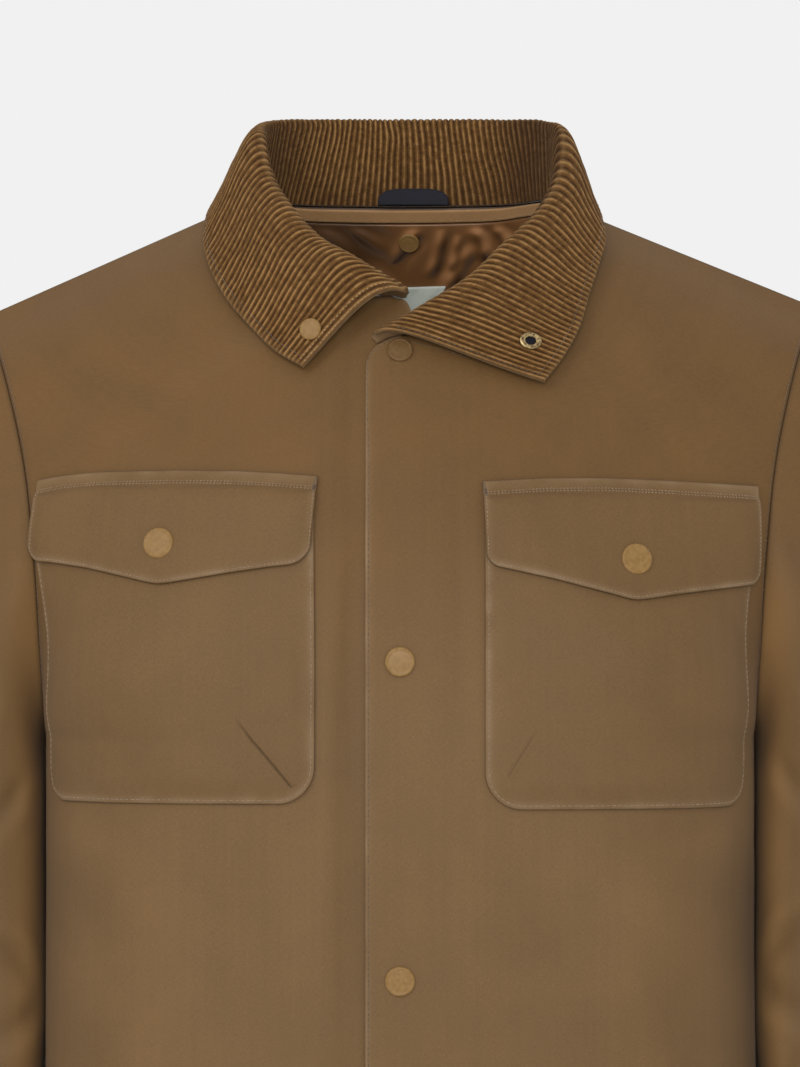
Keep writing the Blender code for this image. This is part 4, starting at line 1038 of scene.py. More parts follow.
SIDES = ("left", "right")
SLEEVE_SEED = {"left": 11, "right": 17}
SLEEVE_SHIFT = {"left": 0.0, "right": 0.012}  # how much higher the same creases lie
ALL_ROWS = BODY_ROWS + ARM_ROWS
front_rows = stations(ALL_ROWS, 0.5, NEAR_ROWS, NEAR_ROWS, [NECK_ROW - each for each in NEAR_ROWS])
front_columns = stations(STRIP + FRONT_COLUMNS, 0.42, NEAR_STRIP, NEAR_ROWS, (float(STRIP),))
back_rows = stations(ALL_ROWS, 0.5, NEAR_ROWS, NEAR_ROWS)
back_columns = stations(2 * BACK_COLUMNS, 0.62, NEAR_ROWS, NEAR_ROWS, (float(BACK_COLUMNS),))
sleeve_rows = stations(CAP_ROWS + ARM_STEPS, 0.48, NEAR_ROWS, NEAR_CUFF)
sleeve_columns = np.arange(0.0, 2 * ARM_ROWS, 0.66)
fronts, sleeves = {}, {}
for side in SIDES:
    name, base, mirror = f"front_{side}", front_base(side), side == "right"
    fronts[side] = Panel(name, base, front_rows, front_columns, strip=True, mirror=mirror)
    name, base = f"sleeve_{side}", sleeve_base(side)
    sleeves[side] = Panel(name, base, sleeve_rows, sleeve_columns, closed=True, mirror=mirror)
back = Panel("back", back_base(), back_rows, back_columns)
panels = [*fronts.values(), back, *sleeves.values()]
for panel in panels:
    panel.smooth_rims(panels)
back.settle(BACK_MARKS, back.grid[..., [0, 2]], 0.00028, 23)
for side in SIDES:
    panel = fronts[side]
    panel.settle(FRONT_MARKS[side], panel.grid[..., [0, 2]], 0.00016, 3)
    panel = sleeves[side]
    turned = np.broadcast_to(sleeve_columns / (2 * ARM_ROWS) * SLEEVE_TURN, panel.grid.shape[:2])
    place = np.stack([turned, panel.grid[..., 2] + SLEEVE_SHIFT[side]], -1)
    panel.settle(SLEEVE_MARKS, place, 0.00030, SLEEVE_SEED[side])


PANEL_RUB = 0.0016  # how far from a folded edge the wax rubs off
SEAM_DARK = (0.0012, 0.55)  # how far the dark beside a seam reaches, and how dark it is


def add_panel(panel, origin, folded, fade):
    """The shell of a panel. folded says which rim points are folded edges, where the wax rubs off;
    fade is painted light and shade: how much paler the cloth is at each point, and darker where it is
    below 0."""
    cells = facing_out(panel.cells, panel.outer.reshape(-1, 3), panel.out)
    uv = np.stack([run_of(panel.grid, origin), panel.grid[..., 2]], -1).reshape(-1, 2)
    fold = folded(panel.flat[panel.nearest])
    wear = fold * np.exp(-panel.away / PANEL_RUB) * (0.55 + 0.45 * noise(panel.flat, 0.011, 5))
    shade = (1.0 - fold) * bell(panel.away, SEAM_DARK[0]) * SEAM_DARK[1]
    # the creases add painted highlight on their ridges and painted shade in their troughs, along with wax
    # rubbed off the ridges
    values = (("wear", wear), ("shade", shade), ("fade", fade + FOLD_SHADE_AND_RUB * panel.folds))
    name, cloth = f"cloth_{panel.name}", [COTTON, INSIDE]
    made = add_shell(name, panel.middle, panel.out, panel.half, cells, cloth, uv, values)
    return dress(made, panel.name)


CENTRE = 0.0002  # points this far past x = 0 lie on a front's strip past the centre
PLACKET_TOP = -0.080
HEM_TOP = HEM_Z + 0.003
CUFF_TOP = -0.66
# where painted shade darkens the fronts and painted light brightens the sleeves: a start, and the length
# over which it comes in
SIDE_SHADE = (0.160, 0.032)
SLEEVE_SHADOW = (0.184, 0.006)
BELOW_ARM = (0.330, 0.06)
SLEEVE_INWARD = (-0.217, 0.021)
SLEEVE_FORWARD = (-0.030, 0.050)
SLEEVE_DOWN = (0.170, 0.12)
SLEEVE_LOW = (0.380, 0.08)


def is_hem(points):
    return (points[:, 2] < HEM_TOP).astype(float)


def is_left_fold(points):
    return np.maximum(is_hem(points), (points[:, 0] < -CENTRE) & (points[:, 2] < PLACKET_TOP))


def is_right_fold(points):
    return np.maximum(is_hem(points), points[:, 0] > CENTRE)


def is_cuff(points):
    return (points[:, 2] < CUFF_TOP).astype(float)


def front_painted_shade(points, strength, edge):
    """Painted shade: a front darkens toward its side seam below the arm, most where a painted shadow of
    the sleeve lies on it.
    """
    outward = np.abs(points[:, 0])
    dark = strength * past(outward, *SIDE_SHADE) + edge * past(outward, *SLEEVE_SHADOW)
    return -dark * past(-points[:, 2], *BELOW_ARM)


def sleeve_painted_light(points, strength):
    """Painted light: the inner side of a sleeve, which the body shades, is made paler."""
    inward = past(-np.abs(points[:, 0]), *SLEEVE_INWARD)
    forward = past(-points[:, 1], *SLEEVE_FORWARD)
    kept = past(-points[:, 2], *SLEEVE_DOWN) - 0.25 * past(-points[:, 2], *SLEEVE_LOW)
    return strength * inward * forward * kept


def nearest_to(numbers, wanted):
    """Which of a panel's rows or columns lies nearest to the base's one with the wanted number."""
    return int(np.argmin(np.abs(numbers - wanted)))


# each front's folded edges, then the strength of its painted shade toward the side seam and of the
# painted shadow where the sleeve lies against it
FRONT_LOOK = {"left": (is_left_fold, 0.30, 0.12), "right": (is_right_fold, 0.12, 0.0)}
# how strong the painted light on each sleeve's inner side is
SLEEVE_PAINTED_LIGHT = {"left": 1.35, "right": 0.95}
neck_row = nearest_to(front_rows, NECK_ROW)
strip_column = nearest_to(front_columns, STRIP)
centre_column = nearest_to(back_columns, BACK_COLUMNS)
for side in SIDES:
    panel = fronts[side]
    folded, strength, edge = FRONT_LOOK[side]
    add_panel(panel, strip_column, folded, front_painted_shade(panel.flat, strength, edge))
add_panel(back, centre_column, is_hem, 0.0)
for side in SIDES:
    panel = sleeves[side]
    add_panel(panel, 0, is_cuff, sleeve_painted_light(panel.flat, SLEEVE_PAINTED_LIGHT[side]))

# ---------------------------------------------------------------- stitches


THREAD_SIDES = 6
THREAD_RINGS = (  # along a stitch, in its lengths, how wide, and how high, in its radii
    (-0.50, 0.35, -0.6), (-0.34, 0.95, 0.1), (0.0, 1.0, 0.35), (0.34, 0.95, 0.1), (0.50, 0.35, -0.6),
)


def ring_points(centre, radius, sides, first, second):
    """Points round a centre, in the plane of two directions."""
    turns = [2.0 * math.pi * k / sides for k in range(sides)]
    return [centre + radius * (math.cos(turn) * first + math.sin(turn) * second) for turn in turns]


def ring_faces(first, rings, sides):
    """Faces between rings of points, numbered on from the first point."""
    faces = []
    for ring in range(rings - 1):
        for k in range(sides):
            a, b = first + ring * sides + k, first + ring * sides + (k + 1) % sides
            faces.append((a, b, b + sides, a + sides))
    return faces


def add_stitches(name, paths, colour, pitch=STITCH_PITCH, size=STITCH_LENGTH, radius=THREAD, seed=0,
                 slant=0.0):
    """Short threads along paths, each given by its points and the cloth's normals, turned by a slant."""
    points, faces = [], []
    for path, normals in paths:
        run = lengths(path)
        count = max(int(run[-1] / pitch), 1)
        starts = (np.arange(count) + 0.5) * run[-1] / count
        jitter = noise(np.stack([starts, 0.0 * starts, 0.0 * starts], -1), 0.0017, seed)
        for start, shake in zip(starts, jitter):
            where = start + 0.12 * pitch * shake
            middle = along(path, where)
            up = between(where, run, normals)
            ahead = unit(along(path, where + 0.0004) - along(path, where - 0.0004))
            ahead = unit(ahead + (slant + 0.12 * shake) * np.cross(up, ahead))
            sideways = unit(np.cross(up, ahead))
            up = unit(np.cross(ahead, sideways))
            first = len(points)
            for at, wide, rise in THREAD_RINGS:
                centre = middle + ahead * at * size + up * radius * rise
                points += ring_points(centre, radius * wide, THREAD_SIDES, sideways, up)
            last = len(points) - THREAD_SIDES
            faces += ring_faces(first, len(THREAD_RINGS), THREAD_SIDES)
            faces.append(tuple(first + k for k in reversed(range(THREAD_SIDES))))
            faces.append(tuple(last + k for k in range(THREAD_SIDES)))
    return add_mesh(name, points, faces, [colour])


# ---------------------------------------------------------------- lookups on what is built


class Surface:
    """A front's outer face, read by distance along the cloth from the centre front, and height."""

    LOW, TOP, STEP = -0.7200, -0.0830, 0.0020
    START, END, SPAN = -0.0140, 0.2270, 0.0015

    def __init__(self, panel):
        flip = MIRROR if panel.grid[NECK_ROW, -1, 0] < 0.0 else np.ones(3)
        grid = panel.outer * flip
        heights = np.arange(self.LOW, self.TOP, self.STEP)
        places = np.arange(self.START, self.END, self.SPAN)
        columns = []
        for column in grid.transpose(1, 0, 2):
            z = np.maximum.accumulate(column[:, 2]) + 1e-9 * np.arange(len(grid))
            columns.append(between(heights, z, column[:, :2]))
        table = []
        for line, z in zip(np.array(columns).transpose(1, 0, 2), heights):
            run = lengths(line)
            run -= np.interp(0.0, line[:, 0], run)
            table.append(np.column_stack([between(places, run, line), np.full(len(places), z)]) * flip)
        self.points = np.array(table)
        self.normals = turned_to(normals_of(self.points), FORWARD)

    def at(self, across, z):
        """Points and outward normals at arrays of places."""
        i = np.clip((np.asarray(z) - self.LOW) / self.STEP, 0.0, len(self.points) - 1.001)
        j = np.clip((np.asarray(across) - self.START) / self.SPAN, 0.0, self.points.shape[1] - 1.001)
        return face_at(self.points, self.normals, i, j)


def bilinear(grid, i, j):
    low, left = np.floor(i).astype(int), np.floor(j).astype(int)
    low, left = np.minimum(low, len(grid) - 2), np.minimum(left, grid.shape[1] - 2)
    u, v = (i - low)[..., None], (j - left)[..., None]
    upper = (1.0 - v) * grid[low, left] + v * grid[low, left + 1]
    lower = (1.0 - v) * grid[low + 1, left] + v * grid[low + 1, left + 1]
    return (1.0 - u) * upper + u * lower


def face_at(points, normals, i, j):
    """Points and unit normals of a grid, read at arrays of row and column numbers."""
    return bilinear(points, i, j), unit(bilinear(normals, i, j))


class Skin:
    """A face of a piece that thread and snaps are put down on."""

    def __init__(self, points, cells):
        self.tree = BVHTree.FromPolygons(points.reshape(-1, 3).tolist(), cells.tolist())

    def onto(self, points, normals, reach=0.012):
        found = []
        for point, normal in zip(points, normals):
            hit = self.tree.ray_cast(Vector(point + reach * normal), Vector(-normal), 2.0 * reach)[0]
            found.append(point if hit is None else np.array(hit))
        return np.array(found)


def evenly(points, step):
    run = lengths(points)
    return along(points, np.linspace(0.0, run[-1], int(run[-1] / step) + 2))


surfaces = {side: Surface(fronts[side]) for side in SIDES}
skins = {panel.name: Skin(panel.outer, panel.cells) for panel in panels}
thread_on = {panel.name: [] for panel in panels}


def add_sheet(flat, area):
    """Rounds a cloth piece's area, kept no larger than its cut; nothing uses the result."""
    area = round(min(area, flat[0] * flat[1]), 5)


# ---------------------------------------------------------------- pockets

NEAR_EDGE = np.array([0.0, 0.25, 0.6, 1.1, 1.8, 2.6, 3.4, 4.6, 6.2]) / 1000.0
POCKET_PUFF = 0.0018  # how far a bag stands off in its middle
PUFF_START = (0.212, 0.035)  # how far down that begins, and over what length
FLAP_SEAM = 0.0005  # how far a flap's top edge stands off
FLAP_SIDES = 0.0024  # and its side edges
FLAP_TACK = 0.0078  # where the edge stitches end, below its top
FLAP_TOP_ROWS = (0.0062, 0.0076)
POINT_SOFT = 0.02  # how soft a flap's point is, as a share of its width
CORNER_STEPS = 1.0 - np.cos(np.linspace(0.0, math.pi / 2.0, 13))
FLAP_ARC = {  # how far the flap's top lies off its mean height, from the inner end to the outer one
    "right": (
        (0.0, -0.0021), (0.13, -0.0005), (0.27, 0.0005), (0.50, 0.0011), (0.76, 0.0004), (0.90, -0.0014),
        (1.0, -0.0038),
    ),
    "left": (
        (0.0, -0.0004), (0.22, 0.0013), (0.42, 0.0014), (0.65, 0.0001), (0.85, -0.0014), (1.0, -0.0024),
    ),
}
FLAP_STAND = {"right": 0.0012, "left": 0.0001}  # how far its outer lower corner stands off
POCKET_MARKS = {
    "right": (
        seen(60, 640, 110, 770, 3.0, -0.5, 13.0),
        seen(150, 610, 210, 690, -4.0, 0.5, 16.0),
        seen(296, 600, 303, 760, 1.0, -0.35, 5.0),
        seen(120, 720, 215, 775, -3.0, 0.6, 17.0),
    ),
    "left": (
        seen(722, 592, 741, 640, 1.0, -0.55, 3.0),
        seen(500, 640, 530, 760, 3.0, -0.45, 12.0),
        seen(640, 620, 590, 700, 4.0, 0.5, 16.0),
        seen(700, 680, 660, 790, -4.0, -0.5, 14.0),
    ),
}
FLAP_MARKS = {
    "right": (
        seen(55, 492, 96, 560, 2.0, -0.45, 9.0),
        seen(215, 492, 292, 548, -2.0, -0.40, 9.0),
        seen(110, 500, 140, 560, 2.0, 0.35, 10.0),
        seen(180, 505, 170, 575, 2.0, -0.25, 8.0),
        seen(285, 540, 306, 556, 1.0, -0.3, 4.0),
    ),
    "left": (
        seen(524, 495, 604, 570, 3.0, -0.55, 8.0),
        seen(570, 492, 628, 535, -2.0, -0.40, 7.0),
        seen(690, 500, 740, 575, 3.0, -0.45, 9.0),
        seen(500, 540, 560, 560, -2.0, 0.35, 9.0),
        seen(655, 545, 700, 580, 2.0, -0.30, 7.0),
    ),
}


def dart_line(*places):
    return np.array([at_pixel(x, y) for x, y in places])


DARTS = {  # where a fold is stitched into the bag's corner, and how sharp it is, which also sets how dark its painted shade is
    "right": (dart_line((231, 712), (240, 724), (252, 740), (270, 761), (293, 789)), 1.0),
    "left": (dart_line((541, 722), (530, 741), (518, 760), (507, 778)), 0.4),
}
DART_SHIFT = 0.0030  # cloth's length across to a place there, over its x


def refined(places, near):
    """The same stations with fine steps from just before the first of near to just past its last."""
    extra = np.arange(max(near.min() - 0.004, places[0]), min(near.max() + 0.004, places[-1]), FINE_STEP)
    kept = places[(places < extra[0] - 0.0003) | (places > extra[-1] + 0.0003)]
    return np.sort(np.concatenate([kept, extra]))


def across_stations(width, near):
    """Distances across a piece of this width, with the ones near its edges at both ends."""
    half = np.concatenate([near, np.arange(near[-1] + MESH_STEP, width / 2.0, MESH_STEP)])
    return np.concatenate([half, [width / 2.0], width - half[::-1]])


def corner_inset(height, corner):
    """How far a rounded corner's edge lies in from the side at this height."""
    rest = np.maximum(corner - height, 0.0)
    return corner - np.sqrt(np.maximum(corner**2 - rest**2, 0.0))


def add_laid(name, points, normals, low, marks, wobble, seed, groove_at, shade, band):
    """Cloth laid on a front, low holding how far its underside stands off at each point.
    shade and band say where it gets painted shade and where it is rubbed, besides its rim, which gets a
    line of painted shade."""
    cells, flat, out, away = as_lists(points, normals)
    rise = relief(flat[:, [0, 2]], marks) * ease(away / 0.004)
    rise += wobble * noise(flat, 0.016, seed) * ease(away / 0.006)
    middle = flat + out * (low.reshape(-1) + WALL / 2.0 + rise)[:, None]
    middle -= out * (0.00016 * bell(away - groove_at, 0.0007))[:, None]
    half = WALL / 2.0 * rounded(away)
    rub = 0.55 + 0.45 * noise(flat, 0.009, seed + 1)
    wear = 0.45 * bell(away - groove_at, 0.0018) * rub + band.reshape(-1) * rub
    # painted shade: a dark line along the rim, where the piece's edge meets the front
    shade = np.maximum(shade.reshape(-1), 0.55 * bell(away, 0.00035))
    cells = facing_out(cells, middle, out)
    uv = np.stack([run_of(points, points.shape[1] // 2).reshape(-1), flat[:, 2]], -1)
    values = (("wear", wear), ("shade", shade))
    made = add_shell(f"cloth_{name}", middle, out, half, cells, [COTTON_RUBBED], uv, values)
    dress(made, name)
    return made, Skin(middle + out * half[:, None], cells), surface_area(middle, cells)


def add_dart(side, points, low):
    """A bag's rise with its dart sunk into it, and the painted shade along the dart at each point."""
    dart, depth = DARTS[side]
    line = along(dart, np.linspace(0.0, lengths(dart)[-1], 60))
    away = points[..., None, [0, 2]] - line
    gone = np.linalg.norm(away, axis=-1)
    nearest, off = gone.argmin(axis=-1), gone.min(axis=-1)
    step = unit(dart[-1] - dart[0])
    beside = away @ np.array([-step[1], step[0]])
    beside = np.take_along_axis(beside, nearest[..., None], axis=-1)[..., 0]
    fade = ease(nearest / 22.0) * ease((59.0 - nearest) / 3.0)
    low = low - depth * 0.0009 * fade * bell(off, 0.0007)
    low = low + depth * 0.0007 * fade * bell(beside - 0.0012, 0.0013) * (off < 0.004)
    # painted shade along the dart's fold
    return low, depth * 0.85 * fade * bell(off, 0.00050)


def add_bag(side):
    """A patch pocket and the stitches along its sides and foot."""
    surface = surfaces[side]
    foot, top = POCKET_FOOT[side], FLAP_TOP[side] - POCKET_BELOW_FLAP
    start, width = POCKET_IN[side], POCKET_WIDTH[side]
    dart = DARTS[side][0]
    even = np.arange(POCKET_CORNER + MESH_STEP, top - foot - 0.005, MESH_STEP)
    rise = np.concatenate([POCKET_CORNER * CORNER_STEPS, even, (top - foot) - NEAR_EDGE[6::-1]])
    rise = refined(rise, dart[:, 1] - foot)
    offsets = refined(across_stations(width, NEAR_EDGE), np.abs(dart[:, 0]) + DART_SHIFT - start)
    inset = corner_inset(rise, POCKET_CORNER)[:, None]
    across = start + inset + offsets[None, :] * (1.0 - 2.0 * inset / width)
    z = np.broadcast_to(foot + rise[:, None], across.shape)
    points, normals = surface.at(across, z)
    edge = np.minimum(np.minimum(across - start, start + width - across), z - foot)
    share = np.clip((across - start) / width, 0.0, 1.0)
    puff = POCKET_PUFF * np.sin(math.pi * share) ** 0.8 * past(-z, *PUFF_START)
    low, shade = add_dart(side, points, 0.0004 + (LAY + puff - 0.0004) * ease(edge / 0.015))
    rim = 0.25 * np.exp(-np.maximum(edge, 0.0) / 0.006)
    bag, skin, area = add_laid(f"pocket_{side}", points, normals, low, POCKET_MARKS[side], 0.00012, 31,
                               EDGE_ROW, shade, rim)
    turn = np.linspace(0.0, math.pi / 2.0, 12)
    radius = POCKET_CORNER - EDGE_ROW
    x = start + POCKET_CORNER - radius * np.cos(turn)
    z = foot + POCKET_CORNER - radius * np.sin(turn)
    inner, outer = np.stack([x, z], -1), np.stack([2.0 * start + width - x, z], -1)[::-1]
    ends = [[(start + EDGE_ROW, top - 0.004)], [(start + width - EDGE_ROW, top - 0.004)]]
    path = evenly(np.concatenate([ends[0], inner, outer, ends[1]]), 0.002)
    where, up = surface.at(path[:, 0], path[:, 1])
    stitches = add_stitches(f"stitch_pocket_{side}", [(skin.onto(where, up), up)], THREAD_PALE, seed=41)
    add_sheet((0.166, 0.160), area)


def add_flap(side):
    """A pocket's pointed flap, its stitches and its snap."""
    surface = surfaces[side]
    (start, start_foot), (end, end_foot) = FLAP_INNER[side], FLAP_OUTER[side]
    width, width_foot = end - start, end_foot - start_foot
    near = np.unique(np.concatenate([FLAP_CORNER[side][0] * CORNER_STEPS, NEAR_EDGE[:6]]))
    offsets = across_stations(width_foot, near)
    share = offsets / width_foot
    arc = np.array(FLAP_ARC[side])
    crown = FLAP_TOP[side] + np.interp(share, arc[:, 0], arc[:, 1])

    # the foot's line: down to a soft point, with rounded corners
    bend = np.sqrt((share - 0.5) ** 2 + POINT_SOFT**2) - POINT_SOFT
    inner_side, point, outer_side = FLAP_DEPTH[side]
    drop = np.where(share < 0.5, inner_side, outer_side)
    drop = point + (drop - point) * np.maximum(bend, 0.0) / (math.hypot(0.5, POINT_SOFT) - POINT_SOFT)
    drop = drop - corner_inset(offsets, FLAP_CORNER[side][0])
    drop = drop - corner_inset(width_foot - offsets, FLAP_CORNER[side][1])
    tidy = np.array([*NEAR_EDGE[:7], 0.0046]) / point
    down = np.concatenate([1.0 - tidy, np.linspace(1.0 - tidy[-1], 0.0, 24)[1:-3], tidy[6::-1]])[:, None]
    z = crown[None, :] - down * drop[None, :]

    def across_at(share, down):
        return start + (start_foot - start) * down + share * (width + (width_foot - width) * down)

    points, normals = surface.at(across_at(share[None, :], down), z)
    below = crown[None, :] - z
    above = drop[None, :] - below
    sideways = np.minimum(offsets, width_foot - offsets)[None, :]
    corner = np.hypot((width_foot - offsets)[None, :], 1.3 * above)

    # how far it stands off: pressed down at its top and sides, a roll below the seam, a lifted corner
    low = FLAP_SEAM + (FLAP_LIFT - FLAP_SEAM) * past(below, 0.002, 0.014)
    low = np.minimum(low, FLAP_SIDES + (FLAP_LIFT - FLAP_SIDES) * ease(sideways / 0.010))
    low = low + 0.0005 * bell(below - 0.0028, 0.0018) - 0.0004 * bell(below - 0.0060, 0.0009)
    low = low + FLAP_STAND[side] * (1.0 - ease(corner / 0.050)) * past(below, 0.010, 0.02)
    # painted shade: a dark line along the top edge, and a fainter one just below the top rows of stitches
    shade = 0.80 * bell(below, 0.00050) + 0.22 * bell(below - 0.0088, 0.0012)
    band = 0.16 * ease((0.0080 - below) / 0.002) + 0.30 * bell(above, 0.0022)
    flap, skin, area = add_laid(f"flap_{side}", points, normals, low, FLAP_MARKS[side], 0.00018, 37,
                                FLAP_ROW, shade, band)

    def on_flap(line_offsets, line_below):
        """Places on the flap by distance from its inner end at the foot, and below its top."""
        part_down = line_below / np.interp(line_offsets, offsets, drop)
        places = across_at(line_offsets / width_foot, part_down)
        where, up = surface.at(places, np.interp(line_offsets, offsets, crown) - line_below)
        return skin.onto(where, up), up

    reach = np.linspace(FLAP_ROW, width_foot - FLAP_ROW, 90)
    foot_line = np.stack([reach, np.interp(reach, offsets, drop) - FLAP_ROW * 1.03], -1)
    line = np.concatenate([[(reach[0], FLAP_TACK)], foot_line, [(reach[-1], FLAP_TACK)]])
    line = evenly(line, 0.002)
    edge = [on_flap(line[:, 0], line[:, 1])]
    rows = [on_flap(reach, below_top + 0.0 * reach) for below_top in FLAP_TOP_ROWS]
    tack = [on_flap(0.0006 + 0.0012 * np.linspace(0.0, 1.0, 3), np.linspace(0.0010, 0.0085, 3))]
    stitches = [
        add_stitches(f"stitch_flap_{side}", edge, THREAD_PALE, 0.0022, 0.0015, seed=43),
        add_stitches(f"stitch_flap_top_{side}", rows, THREAD_PALE, 0.0019, 0.0013, 0.00026, 44, 0.55),
        add_stitches(f"stitch_tack_{side}", tack, THREAD_CLOTH, 0.0007, 0.0020, seed=45, slant=9.0),
    ]
    snap_across, snap_below = FLAP_SNAP[side]
    where, up = surface.at(np.array([snap_across]), np.array([FLAP_TOP[side] - snap_below]))
    facing = unit(up[0] + 0.25 * FORWARD)
    centre = skin.onto(where, up)[0]
    add_cap(f"cap_flap_{side}", f"snap_flap_{side}", centre, facing, FLAP_SNAP_RADIUS, ENAMEL)
    add_sheet((0.172, 0.066), area)


# ---------------------------------------------------------------- turned pieces


def frame_of(axis, squash=1.0):
    """The axis with two directions square to it, of which the second is squashed."""
    axis = unit(np.asarray(axis, float))
    side = unit(np.cross((0.0, 0.0, 1.0), axis))
    return axis, side, squash * np.cross(axis, side)


def add_turned(name, profile, centre, axis, materials, slots, sides=56, squash=1.0):
    """A round piece from radius and height along its axis; slots gives the material of each step."""
    axis, side, up = frame_of(axis, squash)
    points = []
    for radius, height in profile:
        points += ring_points(centre + height * axis, radius, sides, side, up)
    last = len(points) - sides
    faces = ring_faces(0, len(profile), sides)
    faces += [tuple(last + k for k in range(sides)), tuple(reversed(range(sides)))]
    numbers = [*np.repeat(slots[: len(profile) - 1], sides), slots[-1], slots[0]]
    return add_mesh(name, points, faces, materials, face_slots=numbers, sharp=50.0)


CAP = (  # radius as a share of the cap's, and height in millimetres
    (0.94, -0.25), (0.985, 0.10), (1.0, 0.35), (1.0, 0.62), (0.985, 0.90), (0.955, 1.18), (0.91, 1.40),
    (0.87, 1.47), (0.83, 1.46), (0.795, 1.38), (0.765, 1.33), (0.70, 1.36), (0.50, 1.43), (0.25, 1.47),
    (0.04, 1.48),
)
SOCKET = (
    (0.0060, -0.0003), (0.0063, 0.0003), (0.0064, 0.0008), (0.0061, 0.0013), (0.0054, 0.0016),
    (0.0046, 0.0015), (0.0039, 0.0013), (0.0035, 0.0014), (0.0032, 0.0012), (0.0030, 0.0007),
    (0.0029, 0.0002), (0.0010, 0.0001),
)
SOCKET_SLOTS = [0] * 9 + [1] * 3
SOCKET_SQUASH = 0.74
PRONG = ((0.00038, 0.0), (0.00036, 0.00022), (0.0002, 0.00030))
PRONGS = 7
PRONG_PLACE = (0.0047, 0.0013)  # from the socket's axis, and along it


def add_cap(name, node, centre, axis, radius, paint):
    profile = [(radius * wide, 0.001 * high) for wide, high in CAP]
    made = add_turned(name, profile, centre, axis, [paint], [0] * len(profile))
    return dress(made, node)


def add_socket(centre, axis):
    """A brass ring round a hole whose floor is painted near black as shade, with small dark prongs."""
    paints = [BRASS, HOLE_SHADE]
    made = add_turned("ring_socket", SOCKET, centre, axis, paints, SOCKET_SLOTS, squash=SOCKET_SQUASH)
    dress(made, "socket_collar")
    axis, side, up = frame_of(axis, SOCKET_SQUASH)
    for k in range(PRONGS):
        turn = 2.0 * math.pi * (k + 0.3) / PRONGS
        outward = math.cos(turn) * side + math.sin(turn) * up
        place = centre + PRONG_PLACE[1] * axis + PRONG_PLACE[0] * outward
        add_turned(f"socket_prong_{k + 1}", PRONG, place, axis, [HOLE_SHADE], [0] * len(PRONG), 12)


for side in SIDES:
    add_bag(side)
    add_flap(side)
for number, z in enumerate(PLACKET_SNAPS_Z, start=1):
    centre, axis = surfaces["left"].at(np.array([0.0]), np.array([z]))
    centre = skins["front_left"].onto(centre, axis)
    paint, radius = (CLOTH_ENAMEL, TOP_SNAP_RADIUS) if number == 1 else (ENAMEL, SNAP_RADIUS)
    add_cap(f"cap_placket_{number}", f"snap_placket_{number}", centre[0], axis[0], radius, paint)

# ---------------------------------------------------------------- collar


def neck_halves():
    """The neck seam from the left front's end round the back, and on to the right front's end."""
    left, right = fronts["left"].grid, fronts["right"].grid
    start, under = left[neck_row, : strip_column + 1], right[neck_row, : strip_column + 1]
    kept = start[start[:, 0] > -COLLAR_START]
    begin = between(-COLLAR_START, start[:, 0], start)
    reach = BACK_COLUMNS * NECK_PART - 0.01
    ahead = (back_columns >= BACK_COLUMNS) & (back_columns < BACK_COLUMNS + reach)
    behind = (back_columns <= BACK_COLUMNS) & (back_columns > BACK_COLUMNS - reach)
    rows = back.grid[-1]
    one = np.concatenate([[begin], kept, left[neck_row + 1 :, strip_column], rows[ahead][::-1]])
    end = between(-0.0030, -under[:, 0], under)
    two = np.concatenate([rows[behind][::-1], right[: neck_row - 1 : -1, strip_column], [end]])
    return one, two


DEPTH_STEP = 0.001


def front_depth(side, top):
    """How far forward a front's face lies, by x and height."""
    heights = np.arange(-0.140, top, DEPTH_STEP)
    xs = np.arange(-0.150, 0.1505, DEPTH_STEP)
    table = []
    for z in heights:
        found = []
        for column in fronts[side].outer.transpose(1, 0, 2):
            if column[0, 2] <= z <= column[-1, 2]:
                found.append(list(between(z, column[:, 2], column[:, :2])))
        found = np.array(sorted(found))
        table.append(np.interp(xs, found[:, 0], found[:, 1]))
    return heights, xs, np.array(table)[..., None]


